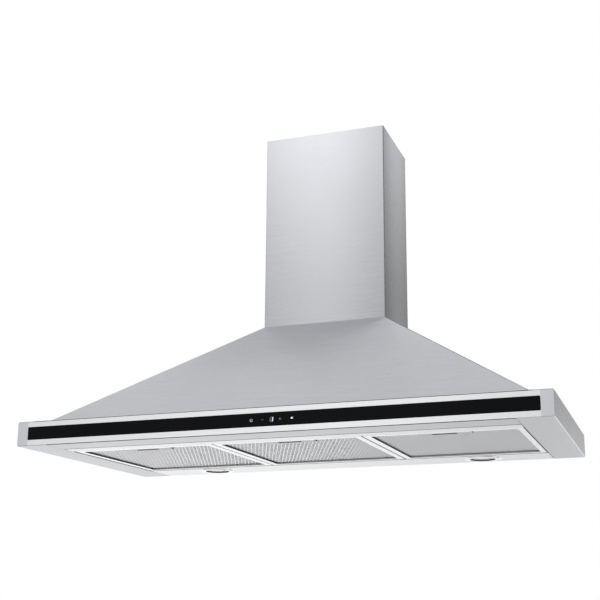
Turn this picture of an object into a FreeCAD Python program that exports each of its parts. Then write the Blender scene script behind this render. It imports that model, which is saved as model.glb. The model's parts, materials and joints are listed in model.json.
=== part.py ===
import FreeCAD, Part

import math
import os
import re

import Sketcher
from FreeCAD import Vector

# A wall-mounted chimney range hood.
# Origin: middle of the lower rear edge. +X is right as seen from the cook, the wall is the plane y = 0,
# the front faces -Y, and z = 0 is the canopy's underside. All lengths are millimetres.

DIMENSIONS = {
    # canopy
    "canopy_width": 1000.0,
    "canopy_depth": 500.0,
    "skirt_height": 46.0,
    "sheet_thickness": 1.0,
    "front_ledge": 30.0,
    "side_ledge": 34.0,
    "front_flange": 60.0,
    "side_flange": 63.0,
    "lip_height": 8.0,
    "seam_gap": 0.5,
    "rail_screw": 2.0,
    "rail_screw_head": 3.4,
    "rail_screw_height": 5.0,
    "slope_top": 280.0,
    "slope_wall": 1.25,
    "glass_pocket": 4.5,
    "rear_inset": 0.4,
    "keyhole_place": 220.0,
    "keyhole_height": 140.0,
    "keyhole_head": 8.0,
    "keyhole_neck": 3.0,
    "keyhole_rise": 18.0,
    "wall_screw_height": 30.0,
    "wall_screw_hole": 4.0,
    # control strip
    "glass_width": 956.0,
    "glass_height": 24.4,
    "glass_low": 10.9,
    "glass_thickness": 4.0,
    "glass_margin": 0.3,
    "glass_recess": 0.2,
    "touch_window": 58.0,
    "touch_middle": 12.0,
    "housing_low": 9.0,
    "housing_high": 38.0,
    "housing_depth": 20.0,
    "housing_wall": 3.0,
    "board_depth": 8.0,
    "board_thickness": 1.6,
    "key_height": 23.0,
    "key_radius": 4.0,
    "display_half": 6.0,
    "display_reach": 8.0,
    # chimney
    "chimney_width": 265.0,
    "chimney_depth": 185.0,
    "chimney_height": 424.0,
    "chimney_return": 20.0,
    "chimney_play": 1.5,
    "upper_low": 312.0,
    "upper_height": 390.0,
    "guide_thickness": 1.2,
    "guide_low": 34.0,
    "guide_high": 8.0,
    "bracket_low": 674.0,
    "bracket_high": 696.0,
    "bracket_hole": 60.0,
    "bracket_hole_radius": 3.0,
    "bracket_sheet": 1.5,
    "bracket_ear": 32.0,
    # grease filters
    "filter_pitch": 291.5,
    "filter_width": 290.0,
    "filter_border": 13.0,
    "filter_low": 0.4,
    "filter_top": 12.0,
    "filter_front": -405.2,
    "filter_rear": -88.0,
    "mesh_low": 3.5,
    "mesh_top": 5.5,
    "rail_rear": -406.0,
    "lamp_panel_front": -87.0,
    "latch_half": 50.0,
    "latch_front": -391.6,
    "latch_rear": -365.0,
    "slot_half": 23.0,
    "slot_front": -381.6,
    "slot_rear": -371.4,
    "latch_low": 1.0,
    "latch_top": 11.6,
    "latch_wall": 1.0,
    "tongue_half": 12.0,
    "tongue_low": 8.25,
    "tongue_top": 10.25,
    "tongue_front": -411.0,
    "tongue_play": 0.25,
    "slider_front": -389.0,
    "slider_rear": -379.2,
    "slider_half": 34.0,
    "slider_wall": 2.0,
    "finger_half": 20.0,
    "finger_low": 1.4,
    "spring_place": 29.0,
    "spring_height": 6.8,
    "spring_radius": 2.0,
    "spring_wire": 0.5,
    "tab_place": 90.0,
    "tab_half": 10.0,
    "tab_reach": 5.0,
    "tab_low": 8.3,
    "tab_top": 9.5,
    "mesh_groove": 5.0,
    "mesh_grip": 4.0,
    # lamps
    "lamp_offset": 297.0,
    "lamp_middle": -43.0,
    "lamp_hole": 31.0,
    "lens_radius": 25.0,
    "lens_low": 1.2,
    "lens_thickness": 3.0,
    "bezel_radius": 38.0,
    "bezel_depth": 1.5,
    "sleeve_height": 6.0,
    "lamp_body_low": 6.2,
    "lamp_body_height": 16.0,
    "lamp_body_hollow": 12.8,
    # blower
    "blower_middle": -150.0,
    "blower_height": 165.0,
    "casing_half": 60.0,
    "casing_sheet": 1.5,
    "scroll_start": 88.0,
    "scroll_end": 128.0,
    "inlet_radius": 62.0,
    "wheel_radius": 75.0,
    "wheel_inner": 62.0,
    "wheel_half": 52.0,
    "wheel_ring": 2.0,
    "hub_radius": 12.0,
    "hub_length": 12.0,
    "shaft_radius": 4.0,
    "shaft_start": -14.0,
    "shaft_length": 66.0,
    "inlet_lip": 6.0,
    "motor_radius": 40.0,
    "motor_start": 8.0,
    "motor_length": 48.0,
    "motor_ring": 46.0,
    "bracket_plate": 2.0,
    "arm_width": 8.0,
    "bolt_radius": 4.0,
    "bolt_head": 3.0,
    "capacitor_place": -95.0,
    "capacitor_depth": -60.0,
    "capacitor_low": 180.0,
    "capacitor_radius": 15.0,
    "capacitor_height": 52.0,
    # outlet
    "outlet_radius": 75.0,
    "outlet_middle": -92.0,
    "outlet_wall": 1.5,
    "outlet_foot": 9.0,
    "foot_thickness": 2.0,
    "seat_low": 262.0,
    "seat_top": 300.0,
    "seat_play": 1.3,
    "seat_sheet": 1.2,
    "deck_play": 2.5,
    "deck_low": 270.0,
    "collar_top": 332.0,
    "pin_height": 300.0,
    "pin_radius": 2.0,
    "flap_radius": 72.8,
    "flap_thickness": 1.2,
    "flap_gap": 4.2,
    "knuckle_radius": 3.2,
    "pin_play": 0.06,
    # electrics
    "control_left": 90.0,
    "control_right": 190.0,
    "control_front": -72.0,
    "control_rear": -10.0,
    "control_low": 120.0,
    "control_high": 162.0,
    "control_wall": 2.0,
    "board_lift": 6.0,
    "gland_place": 112.0,
    "gland_depth": -30.0,
    "gland_bore": 3.5,
    "gland_collar": 11.0,
    "gland_thread": 7.9,
}

BLADE_COUNT = 36
SPIRAL_POINTS = 19

doc = FreeCAD.newDocument("ChimneyHood")
sheet = doc.addObject("Spreadsheet::Sheet", "Dims")
for row, (alias, value) in enumerate(DIMENSIONS.items(), start=1):
    sheet.set(f"A{row}", alias)
    sheet.set(f"B{row}", str(value))
    sheet.setAlias(f"B{row}", alias)
doc.recompute()

nodes = []


# ---------------------------------------------------------------- helpers


def on_sheet(text):
    """The expression with every sheet alias given its sheet name."""
    return re.sub(r"[a-z]+(?:_[a-z]+)+", r"Dims.\g<0>", str(text))


def size(text):
    """The value of an expression, in millimetres."""
    result = sheet.evalExpression(on_sheet(text))
    return getattr(result, "Value", result)


def bind(item, prop, text):
    """Ties a property to an expression on the sheet."""
    item.setExpression(prop, on_sheet(text))


def keep(item, label):
    """Names a finished sub-part: its label is its node's name."""
    item.Label = label
    nodes.append(item)
    return item


def box(x, y, z):
    """A block; each side is a (low, high) pair of expressions."""
    block = doc.addObject("Part::Box", "Block")
    for side, axis, (low, high) in zip(("Length", "Width", "Height"), "xyz", (x, y, z)):
        bind(block, side, f"({high}) - ({low})")
        bind(block, f"Placement.Base.{axis}", low)
    return block


TURNED = {"x": (Vector(0, 1, 0), 90), "y": (Vector(1, 0, 0), -90), "z": (Vector(0, 0, 1), 0)}


def rod(radius, base, length, along="z"):
    """A cylinder from its base centre along an axis."""
    item = doc.addObject("Part::Cylinder", "Rod")
    bind(item, "Radius", radius)
    bind(item, "Height", length)
    item.Placement.Rotation = FreeCAD.Rotation(*TURNED[along])
    for axis, value in zip("xyz", base):
        bind(item, f"Placement.Base.{axis}", value)
    return item


def cone(lower, upper, base, height):
    """An upright cone frustum."""
    item = doc.addObject("Part::Cone", "Cone")
    bind(item, "Radius1", lower)
    bind(item, "Radius2", upper)
    bind(item, "Height", height)
    for axis, value in zip("xyz", base):
        bind(item, f"Placement.Base.{axis}", value)
    return item


def fuse(*pieces):
    item = doc.addObject("Part::MultiFuse", "Joined")
    item.Shapes = list(pieces)
    item.Refine = True
    return item


def cut(base, *tools):
    item = doc.addObject("Part::Cut", "Trimmed")
    item.Base = base
    item.Tool = tools[0] if len(tools) == 1 else fuse(*tools)
    item.Refine = True
    return item


def common(first, second):
    item = doc.addObject("Part::Common", "Shared")
    item.Base = first
    item.Tool = second
    return item


def group(pieces):
    """Separate solids that share one node."""
    item = doc.addObject("Part::Compound", "Set")
    item.Links = list(pieces)
    return item


def pin_point(sketch, edge, point, x, y):
    """Fixes a sketch point by driving dimensions from the origin."""
    for kind, text, axis in (("DistanceX", x, -2), ("DistanceY", y, -1)):
        value = size(text)
        if abs(value) < 1e-9:
            sketch.addConstraint(Sketcher.Constraint("PointOnObject", edge, point, axis))
        else:
            number = sketch.addConstraint(Sketcher.Constraint(kind, -1, 1, edge, point, value))
            bind(sketch, f"Constraints[{number}]", text)


def attach(sketch, body, plane, offset):
    """Puts a sketch on one of its own body's origin planes."""
    origin = [item for item in body.Origin.OriginFeatures if item.Role == plane][0]
    sketch.AttachmentSupport = [(origin, "")]
    sketch.MapMode = "FlatFace"
    bind(sketch, "AttachmentOffset.Base.z", offset)


def draw(sketch, outline):
    """A closed outline of straight edges through dimensioned corners."""
    first = sketch.GeometryCount
    count = len(outline)
    corners = [Vector(size(x), size(y), 0) for x, y in outline]
    for number, corner in enumerate(corners):
        sketch.addGeometry(Part.LineSegment(corner, corners[(number + 1) % count]), False)
    for number, (x, y) in enumerate(outline):
        following = first + (number + 1) % count
        sketch.addConstraint(Sketcher.Constraint("Coincident", first + number, 2, following, 1))
        pin_point(sketch, first + number, 1, x, y)


def draw_circle(sketch, x, y, radius):
    middle = Vector(size(x), size(y), 0)
    number = sketch.addGeometry(Part.Circle(middle, Vector(0, 0, 1), size(radius)), False)
    pin_point(sketch, number, 3, x, y)
    limit = sketch.addConstraint(Sketcher.Constraint("Radius", number, size(radius)))
    bind(sketch, f"Constraints[{limit}]", radius)


def plate(plane, low, high, outlines, circles=()):
    """A pad between two levels along a plane's normal: XY runs in z, XZ in y and YZ in x."""
    body = doc.addObject("PartDesign::Body", "Plate")
    sketch = body.newObject("Sketcher::SketchObject", "Outline")
    # The XZ plane's normal points along -Y, so its offset and pad run from the high level down.
    attach(sketch, body, f"{plane}_Plane", f"-({high})" if plane == "XZ" else low)
    for outline in outlines:
        draw(sketch, outline)
    for circle in circles:
        draw_circle(sketch, *circle)
    pad = body.newObject("PartDesign::Pad", "Pad")
    pad.Profile = sketch
    bind(pad, "Length", f"({high}) - ({low})")
    return body


def rectangle(x, y):
    """The corners of a rectangle from two (low, high) pairs."""
    return [(x[0], y[0]), (x[1], y[0]), (x[1], y[1]), (x[0], y[1])]


def both_sides(text):
    """The pair from minus an expression to plus it."""
    return (f"-({text})", text)


# ---------------------------------------------------------------- canopy


HALF = "canopy_width/2"
FRONT = "-canopy_depth"
SKIN = "sheet_thickness"
SLOPE_X = "(canopy_width/2 - side_ledge)"
SLOPE_Y = "(front_ledge - canopy_depth)"
OPEN_X = "(canopy_width/2 - side_flange)"
OPEN_Y = "(front_flange - canopy_depth)"
STACK_X = "chimney_width/2"
STACK_Y = "-chimney_depth"


def front_slope():
    slab = plate("YZ", f"-{SLOPE_X}", SLOPE_X, [[
        (SLOPE_Y, "skirt_height"),
        (STACK_Y, "slope_top"),
        (STACK_Y, "slope_top - slope_wall"),
        (SLOPE_Y, "skirt_height - slope_wall"),
    ]])
    footprint = plate("XY", "0", "slope_top + 5", [[
        (f"-{SLOPE_X}", SLOPE_Y),
        (SLOPE_X, SLOPE_Y),
        (STACK_X, STACK_Y),
        (f"-{STACK_X}", STACK_Y),
    ]])
    return common(slab, footprint)


def side_slope(side):
    slab = plate("XZ", SLOPE_Y, "0", [[
        (f"{side}*{SLOPE_X}", "skirt_height"),
        (f"{side}*{STACK_X}", "slope_top"),
        (f"{side}*{STACK_X}", "slope_top - slope_wall"),
        (f"{side}*{SLOPE_X}", "skirt_height - slope_wall"),
    ]])
    footprint = plate("XY", "0", "slope_top + 5", [[
        (f"{side}*{SLOPE_X}", SLOPE_Y),
        (f"{side}*{STACK_X}", STACK_Y),
        (f"{side}*{STACK_X}", "0"),
        (f"{side}*{SLOPE_X}", "0"),
    ]])
    return common(slab, footprint)


def canopy_back():
    """The rear plate hangs on two keyholes and is secured by two lower screws."""
    inset = "rear_inset"
    top = f"slope_top - slope_wall - {inset}"
    foot = f"skirt_height - slope_wall - {inset}"
    outline = [
        (f"{SKIN} - {HALF}", SKIN),
        (f"{HALF} - {SKIN}", SKIN),
        (f"{HALF} - {SKIN}", foot),
        (f"{SLOPE_X} - {inset}", foot),
        (f"{STACK_X} - {inset}", top),
        (f"{inset} - {STACK_X}", top),
        (f"{inset} - {SLOPE_X}", foot),
        (f"{SKIN} - {HALF}", foot),
    ]
    circles = []
    slots = []
    for side in (-1, 1):
        place = f"{side}*keyhole_place"
        circles.append((place, "wall_screw_height", "wall_screw_hole"))
        slots.append(rod("keyhole_head", (place, f"-2*{SKIN}", "keyhole_height"), f"4*{SKIN}", "y"))
        slots.append(box(
            (f"{place} - keyhole_neck", f"{place} + keyhole_neck"),
            (f"-2*{SKIN}", f"2*{SKIN}"),
            ("keyhole_height", "keyhole_height + keyhole_rise"),
        ))
    return cut(plate("XZ", f"-{SKIN}", "0", [outline], circles), *slots)


def front_channel():
    wall_front = f"{FRONT} + glass_pocket"
    wall_rear = f"{wall_front} + {SKIN}"
    skin_rear = f"{FRONT} + {SKIN}"
    profile = [
        (skin_rear, "0"),
        (OPEN_Y, "0"),
        (OPEN_Y, "lip_height + sheet_thickness"),
        (f"{OPEN_Y} - {SKIN}", "lip_height + sheet_thickness"),
        (f"{OPEN_Y} - {SKIN}", SKIN),
        (wall_rear, SKIN),
        (wall_rear, f"skirt_height - {SKIN}"),
        (SLOPE_Y, f"skirt_height - {SKIN}"),
        (SLOPE_Y, "skirt_height"),
        (skin_rear, "skirt_height"),
        (skin_rear, f"skirt_height - {SKIN}"),
        (wall_front, f"skirt_height - {SKIN}"),
        (wall_front, SKIN),
        (skin_rear, SKIN),
    ]
    section = plate("YZ", f"-{OPEN_X}", OPEN_X, [profile])
    ledge = box(both_sides(SLOPE_X), (skin_rear, SLOPE_Y), (f"skirt_height - {SKIN}", "skirt_height"))
    inner = f"{HALF} - {SKIN}"
    wall = box(both_sides(inner), (wall_front, wall_rear), (SKIN, f"skirt_height - {SKIN}"))
    window = box(
        ("touch_middle - touch_window", "touch_middle + touch_window"),
        (f"{wall_front} - 1", f"{wall_rear} + 1"),
        ("glass_low + 1", "glass_low + glass_height - 1"),
    )
    return cut(fuse(section, ledge, wall), window, *rail_screw_holes())


RAIL_SCREW_X = (-390, -130, 130, 390)


def rail_screw_holes():
    """Cutters through both upright lips where the rail is screwed on."""
    front = f"{OPEN_Y} - 3*{SKIN}"
    return [rod("rail_screw", (x, front, "rail_screw_height"), f"8*{SKIN}", "y") for x in RAIL_SCREW_X]


def side_skirt(side):
    outer = f"{side}*{HALF}"
    inner_wall = f"{side}*({HALF} - {SKIN})"
    profile = [
        (outer, "0"),
        (outer, "skirt_height"),
        (f"{side}*{SLOPE_X}", "skirt_height"),
        (f"{side}*{SLOPE_X}", f"skirt_height - {SKIN}"),
        (inner_wall, f"skirt_height - {SKIN}"),
        (inner_wall, SKIN),
        (f"{side}*({OPEN_X} + {SKIN})", SKIN),
        (f"{side}*({OPEN_X} + {SKIN})", "lip_height + sheet_thickness"),
        (f"{side}*{OPEN_X}", "lip_height + sheet_thickness"),
        (f"{side}*{OPEN_X}", "0"),
    ]
    channel = plate("XZ", f"{FRONT} + {SKIN}", "0", [profile])
    # The front channel fills the corner: its wall and its front lip pass through the side channel.
    low, high = sorted((size(f"{side}*({OPEN_X} - 1)"), size(f"{side}*({HALF} - {SKIN})")))
    corner = box((low, high), (f"{FRONT} - 1", OPEN_Y), (SKIN, "lip_height + 2"))
    # The rear plate closes the channel's end.
    end = box((low, high), (f"-{SKIN}", "1"), (SKIN, "lip_height + 2"))
    return cut(channel, corner, end)


def front_fascia():
    window = rectangle(both_sides("glass_width/2"), ("glass_low", "glass_low + glass_height"))
    outline = rectangle(both_sides(HALF), ("0", "skirt_height"))
    return plate("XZ", FRONT, f"{FRONT} + {SKIN}", [outline, window])


GLASS_REAR = "(glass_recess + glass_thickness - canopy_depth)"
BOARD_FRONT = "(board_depth - canopy_depth)"


def control_glass():
    return box(
        both_sides("glass_width/2 - glass_margin"),
        (f"{FRONT} + glass_recess", GLASS_REAR),
        ("glass_low + glass_margin", "glass_low + glass_height - glass_margin"),
    )


def touch_housing():
    """An open-fronted box behind the wall's window, round the touch board."""
    front = f"{FRONT} + glass_pocket + {SKIN} + glass_recess"
    rear = f"{FRONT} + housing_depth"
    inside = "touch_window - 1"
    outside = f"{inside} + housing_wall + 2"
    shell = box(
        (f"touch_middle - ({outside})", f"touch_middle + {outside}"),
        (front, rear),
        ("housing_low", "housing_high"),
    )
    hollow = box(
        (f"touch_middle - ({inside})", f"touch_middle + {inside}"),
        (f"{front} - 1", f"{rear} - housing_wall + 1"),
        ("housing_low + housing_wall", "housing_high - housing_wall"),
    )
    return cut(shell, hollow)


def touch_board():
    return box(
        ("touch_middle - touch_window + 2", "touch_middle + touch_window - 2"),
        (BOARD_FRONT, f"{BOARD_FRONT} + board_thickness"),
        ("housing_low + housing_wall + 1", "housing_high - housing_wall - 1"),
    )


# Places of the touch keys along the glass, either side of the digit.
KEY_X = (-26, -5, 28, 50)


def touch_springs():
    length = f"{BOARD_FRONT} - {GLASS_REAR}"
    return group(rod("key_radius", (x, GLASS_REAR, "key_height"), length, "y") for x in KEY_X)


def led_display():
    return box(
        ("touch_middle - display_half", "touch_middle + display_half"),
        (GLASS_REAR, BOARD_FRONT),
        ("key_height - display_reach", "key_height + display_reach"),
    )


# ---------------------------------------------------------------- underside


def front_rail():
    front = f"{OPEN_Y} + seam_gap"
    profile = [
        (front, "0"),
        ("rail_rear", "0"),
        ("rail_rear", "lip_height"),
        (f"rail_rear - {SKIN}", "lip_height"),
        (f"rail_rear - {SKIN}", SKIN),
        (f"{front} + {SKIN}", SKIN),
        (f"{front} + {SKIN}", "lip_height + sheet_thickness"),
        (front, "lip_height + sheet_thickness"),
    ]
    rail = plate("YZ", f"seam_gap - {OPEN_X}", f"{OPEN_X} - seam_gap", [profile])
    return cut(rail, *rail_screw_holes())


def rail_screws():
    shank_front = f"{OPEN_Y} - 2.5*{SKIN}"
    head_front = f"{OPEN_Y} + seam_gap + {SKIN}"
    pieces = []
    for x in RAIL_SCREW_X:
        shank = rod("rail_screw - 0.1", (x, shank_front, "rail_screw_height"), f"4*{SKIN}", "y")
        head = rod("rail_screw_head", (x, head_front, "rail_screw_height"), "rail_screw", "y")
        pieces.append(fuse(shank, head))
    return group(pieces)


def lamp_panel():
    reach = both_sides(f"{OPEN_X} - seam_gap")
    panel = fuse(
        box(reach, ("lamp_panel_front", "0"), (0, SKIN)),
        box(reach, ("lamp_panel_front", f"lamp_panel_front + {SKIN}"), (0, "lip_height")),
        box(reach, (f"-2*{SKIN}", f"-{SKIN}"), (0, "lip_height")),
    )
    holes = [
        rod("lamp_hole", (f"{side}*lamp_offset", "lamp_middle", f"-{SKIN}"), f"3*{SKIN}")
        for side in (-1, 1)
    ]
    return cut(panel, *holes)


def lamp_bezel(side):
    centre = (f"{side}*lamp_offset", "lamp_middle")
    rim = cone("bezel_radius - bezel_depth", "bezel_radius", (*centre, "-bezel_depth"), "bezel_depth")
    sleeve = rod("lamp_hole - 0.5", (*centre, 0), "sleeve_height")
    bore = rod("lens_radius + 0.3", (*centre, "-2*bezel_depth"), "2*sleeve_height")
    return cut(fuse(rim, sleeve), bore)


def lamp_lens(side):
    return rod("lens_radius", (f"{side}*lamp_offset", "lamp_middle", "lens_low"), "lens_thickness")


def lamp_body(side):
    """The lamp's cup, open towards the lens."""
    centre = (f"{side}*lamp_offset", "lamp_middle")
    shell = rod("lamp_hole - 1", (*centre, "lamp_body_low"), "lamp_body_height")
    hollow = rod("lens_radius", (*centre, "lamp_body_low - 1"), "lamp_body_hollow + 1")
    return cut(shell, hollow)


# ---------------------------------------------------------------- grease filters


def tongue_way(x, front, rear):
    """The cutter for the slot in which a latch's tongue slides."""
    return box(
        (f"{x} - tongue_half - 1", f"{x} + tongue_half + 1"),
        (front, rear),
        ("tongue_low - tongue_play", "tongue_top + tongue_play"),
    )


def filter_frame(x):
    half = "filter_width/2"
    outer = box(
        (f"{x} - {half}", f"{x} + {half}"),
        ("filter_front", "filter_rear"),
        ("filter_low", "filter_top"),
    )
    window = box(
        (f"{x} - {half} + filter_border", f"{x} + {half} - filter_border"),
        ("filter_front + filter_border", "filter_rear - filter_border"),
        ("filter_low - 1", "filter_top + 1"),
    )
    channel = box(
        (f"{x} - {half} + filter_border - mesh_groove", f"{x} + {half} - filter_border + mesh_groove"),
        ("filter_front + filter_border - mesh_groove", "filter_rear - filter_border + mesh_groove"),
        ("mesh_low - 0.2", "mesh_top + 0.2"),
    )
    tongue_slot = tongue_way(x, "filter_front - 1", "filter_front + filter_border + 1")
    body = cut(outer, window, channel, tongue_slot)
    tabs = [
        box(
            (f"{x} + {side}*tab_place - tab_half", f"{x} + {side}*tab_place + tab_half"),
            ("filter_rear - 1", "filter_rear + tab_reach"),
            ("tab_low", "tab_top"),
        )
        for side in (-1, 1)
    ]
    return fuse(body, *tabs)


def filter_mesh(x):
    reach = "filter_width/2 - filter_border + mesh_grip"
    pack = box(
        (f"{x} - ({reach})", f"{x} + {reach}"),
        ("filter_front + filter_border - mesh_grip", "filter_rear - filter_border + mesh_grip"),
        ("mesh_low", "mesh_top"),
    )
    notch = box(
        (f"{x} - latch_half - 0.4", f"{x} + latch_half + 0.4"),
        ("filter_front", "latch_rear + 0.4"),
        (0, "filter_top"),
    )
    return cut(pack, notch)


def latch_bezel(x):
    shell = box(
        (f"{x} - latch_half", f"{x} + latch_half"),
        ("latch_front", "latch_rear"),
        ("latch_low", "latch_top"),
    )
    hollow = box(
        (f"{x} - latch_half + latch_wall", f"{x} + latch_half - latch_wall"),
        ("latch_front + latch_wall", "latch_rear - latch_wall"),
        ("latch_low + latch_wall + 0.2", "latch_top - latch_wall"),
    )
    slot = box(
        (f"{x} - slot_half", f"{x} + slot_half"),
        ("slot_front", "slot_rear"),
        ("latch_low - 1", "latch_low + 2*latch_wall"),
    )
    mouth = tongue_way(x, "latch_front - 1", "latch_front + 2*latch_wall")
    return cut(shell, hollow, slot, mouth)


def latch_slider(x):
    """A sprung tongue, its slide plate and the tab a finger pulls."""
    thick = ("tongue_low", "tongue_top")
    upright = ("slider_rear - slider_wall", "slider_rear")
    half = (f"{x} - slider_half", f"{x} + slider_half")
    tongue = box((f"{x} - tongue_half", f"{x} + tongue_half"), ("tongue_front", "slider_front + 1"), thick)
    slide_plate = box(half, ("slider_front", "slider_rear"), thick)
    root = "tongue_low + slider_wall/2"
    wings = box(half, upright, ("spring_height - spring_radius - 0.8", root))
    finger_tab = box((f"{x} - finger_half", f"{x} + finger_half"), upright, ("finger_low", root))
    return fuse(tongue, slide_plate, wings, finger_tab)


SPRING_TURNS = 6


def coil(x, y_low, y_high, z, coil_radius, wire, turns):
    """A compression spring along Y, swept round a helix."""
    length = y_high - y_low - wire
    helix = Part.makeHelix(length / turns, length, coil_radius)
    profile = Part.Wire(Part.makeCircle(wire / 2, Vector(coil_radius, 0, 0), Vector(0, 1, 0)))
    spring = Part.Wire(helix).makePipeShell([profile], True, True)
    spring.rotate(Vector(0, 0, 0), Vector(1, 0, 0), -90)
    spring.translate(Vector(x, y_low + wire / 2, z))
    return spring


def latch_springs(x):
    item = doc.addObject("Part::Feature", "Springs")
    ends = (size("slider_rear"), size("latch_rear - latch_wall"))
    wire = (size("spring_radius"), size("spring_wire"))
    item.Shape = Part.makeCompound([
        coil(size(f"{x} + {side}*spring_place"), *ends, size("spring_height"), *wire, SPRING_TURNS)
        for side in (-1, 1)
    ])
    return item


# ---------------------------------------------------------------- blower


def scroll_curve(reduced):
    """The casing's spiral, from its cut-off above the wheel round to the outlet's rear wall."""
    middle_y = size("blower_middle")
    middle_z = size("blower_height")
    start = size("scroll_start")
    end = size("scroll_end")
    points = []
    for number in range(SPIRAL_POINTS):
        share = number / (SPIRAL_POINTS - 1)
        angle = math.radians(90 + 270 * share)
        radius = start + (end - start) * share - reduced
        points.append(Vector(0, middle_y + radius * math.cos(angle), middle_z + radius * math.sin(angle)))
    spline = Part.BSplineCurve()
    spline.interpolate(points)
    return spline.toShape(), points[0], points[-1]


def scroll_wrap():
    wall = size("casing_sheet")
    top = size("deck_low")
    outer, outer_start, outer_end = scroll_curve(0)
    inner, inner_start, inner_end = scroll_curve(wall)
    half = size("casing_half")
    corner_outer = Vector(0, outer_start.y + wall, outer_start.z)
    path = [
        outer,
        Part.makeLine(outer_end, Vector(0, outer_end.y, top)),
        Part.makeLine(Vector(0, outer_end.y, top), Vector(0, inner_end.y, top)),
        Part.makeLine(Vector(0, inner_end.y, top), inner_end),
        inner,
        Part.makeLine(inner_start, Vector(0, corner_outer.y, inner_start.z)),
        Part.makeLine(Vector(0, corner_outer.y, inner_start.z), Vector(0, corner_outer.y, top)),
        Part.makeLine(Vector(0, corner_outer.y, top), Vector(0, outer_start.y, top)),
        Part.makeLine(Vector(0, outer_start.y, top), outer_start),
    ]
    item = doc.addObject("Part::Feature", "Scroll")
    face = Part.Face(Part.Wire(Part.__sortEdges__(path)))
    item.Shape = face.extrude(Vector(2 * half, 0, 0))
    item.Placement.Base = Vector(-half, 0, 0)
    return item


def casing_side(side):
    """A flat cheek with an inlet rolled in towards the wheel."""
    sheet_wall = size("casing_sheet")
    lip_length = size("inlet_lip")
    top = size("deck_low")
    half = size("casing_half")
    outer, outer_start, outer_end = scroll_curve(0)
    edges = [
        outer,
        Part.makeLine(outer_end, Vector(0, outer_end.y, top)),
        Part.makeLine(Vector(0, outer_end.y, top), Vector(0, outer_start.y, top)),
        Part.makeLine(Vector(0, outer_start.y, top), outer_start),
    ]
    cheek = Part.Face(Part.Wire(Part.__sortEdges__(edges))).extrude(Vector(sheet_wall, 0, 0))
    hub = Vector(-1, size("blower_middle"), size("blower_height"))
    radius = size("inlet_radius")
    cheek = cheek.cut(Part.makeCylinder(radius, sheet_wall + 2, hub, Vector(1, 0, 0)))
    lip_foot = Vector(0 if side < 0 else sheet_wall - lip_length, hub.y, hub.z)
    lip = Part.makeCylinder(radius, lip_length, lip_foot, Vector(1, 0, 0))
    lip = lip.cut(Part.makeCylinder(radius - sheet_wall, lip_length, lip_foot, Vector(1, 0, 0)))
    item = doc.addObject("Part::Feature", "Cheek")
    item.Shape = cheek.fuse(lip).removeSplitter()
    item.Placement.Base = Vector(-half - sheet_wall if side < 0 else half, 0, 0)
    return item


def impeller_wheel():
    """A double-inlet squirrel-cage wheel: hub disc, two end rings and forward-leaning blades."""
    body = doc.addObject("PartDesign::Body", "Wheel")

    def pad(low, high, circles=(), outline=None):
        sketch = body.newObject("Sketcher::SketchObject", "Profile")
        attach(sketch, body, "YZ_Plane", low)
        if outline:
            draw(sketch, outline)
        for circle in circles:
            draw_circle(sketch, *circle)
        feature = body.newObject("PartDesign::Pad", "Pad")
        feature.Profile = sketch
        bind(feature, "Length", f"({high}) - ({low})")
        return feature

    ring = [("0", "0", "wheel_radius"), ("0", "0", "wheel_inner + 4")]
    pad("-wheel_ring/2", "wheel_ring/2", [("0", "0", "wheel_radius - 0.5"), ("0", "0", "shaft_radius")])
    pad("-hub_length", "-wheel_ring/2", [("0", "0", "hub_radius"), ("0", "0", "shaft_radius")])
    pad("-wheel_half", "wheel_ring - wheel_half", ring)
    pad("wheel_half - wheel_ring", "wheel_half", ring)
    blade = pad("-wheel_half", "wheel_half", outline=[
        ("wheel_inner", "-0.5"),
        ("wheel_radius - 0.6", "3.5"),
        ("wheel_radius - 1.2", "4.8"),
        ("wheel_inner", "0.7"),
    ])
    doc.recompute()
    pattern = body.newObject("PartDesign::PolarPattern", "Blades")
    pattern.Originals = [blade]
    pattern.Axis = ([item for item in body.Origin.OriginFeatures if item.Role == "X_Axis"][0], [""])
    pattern.Angle = 360
    pattern.Occurrences = BLADE_COUNT
    body.Tip = pattern
    bind(body, "Placement.Base.y", "blower_middle")
    bind(body, "Placement.Base.z", "blower_height")
    return body


def blower_axis(x):
    """A point on the wheel's axis."""
    return (x, "blower_middle", "blower_height")


def impeller_shaft():
    return rod("shaft_radius", blower_axis("shaft_start"), "shaft_length", "x")


def blower_motor():
    can = rod("motor_radius - 2", blower_axis("motor_start"), "motor_length", "x")
    cap = rod("motor_radius - 8", blower_axis("motor_start + motor_length - 1"), "5", "x")
    boss = rod("shaft_radius + 5", blower_axis("motor_start - 2"), "3", "x")
    bore = rod("shaft_radius + 0.05", blower_axis("0"), "motor_start + motor_length", "x")
    return cut(fuse(can, cap, boss), bore)


CHEEK_OUTER = "(casing_half + casing_sheet)"
ARM_ANGLES = (90, 210, 330)
BOLT_ANGLES = (30, 150, 270)


def tube(outer, inner, start, length):
    """A ring about the wheel's axis."""
    bore = rod(inner, blower_axis(f"{start} - 1"), f"{length} + 2", "x")
    return cut(rod(outer, blower_axis(start), length, "x"), bore)


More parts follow.
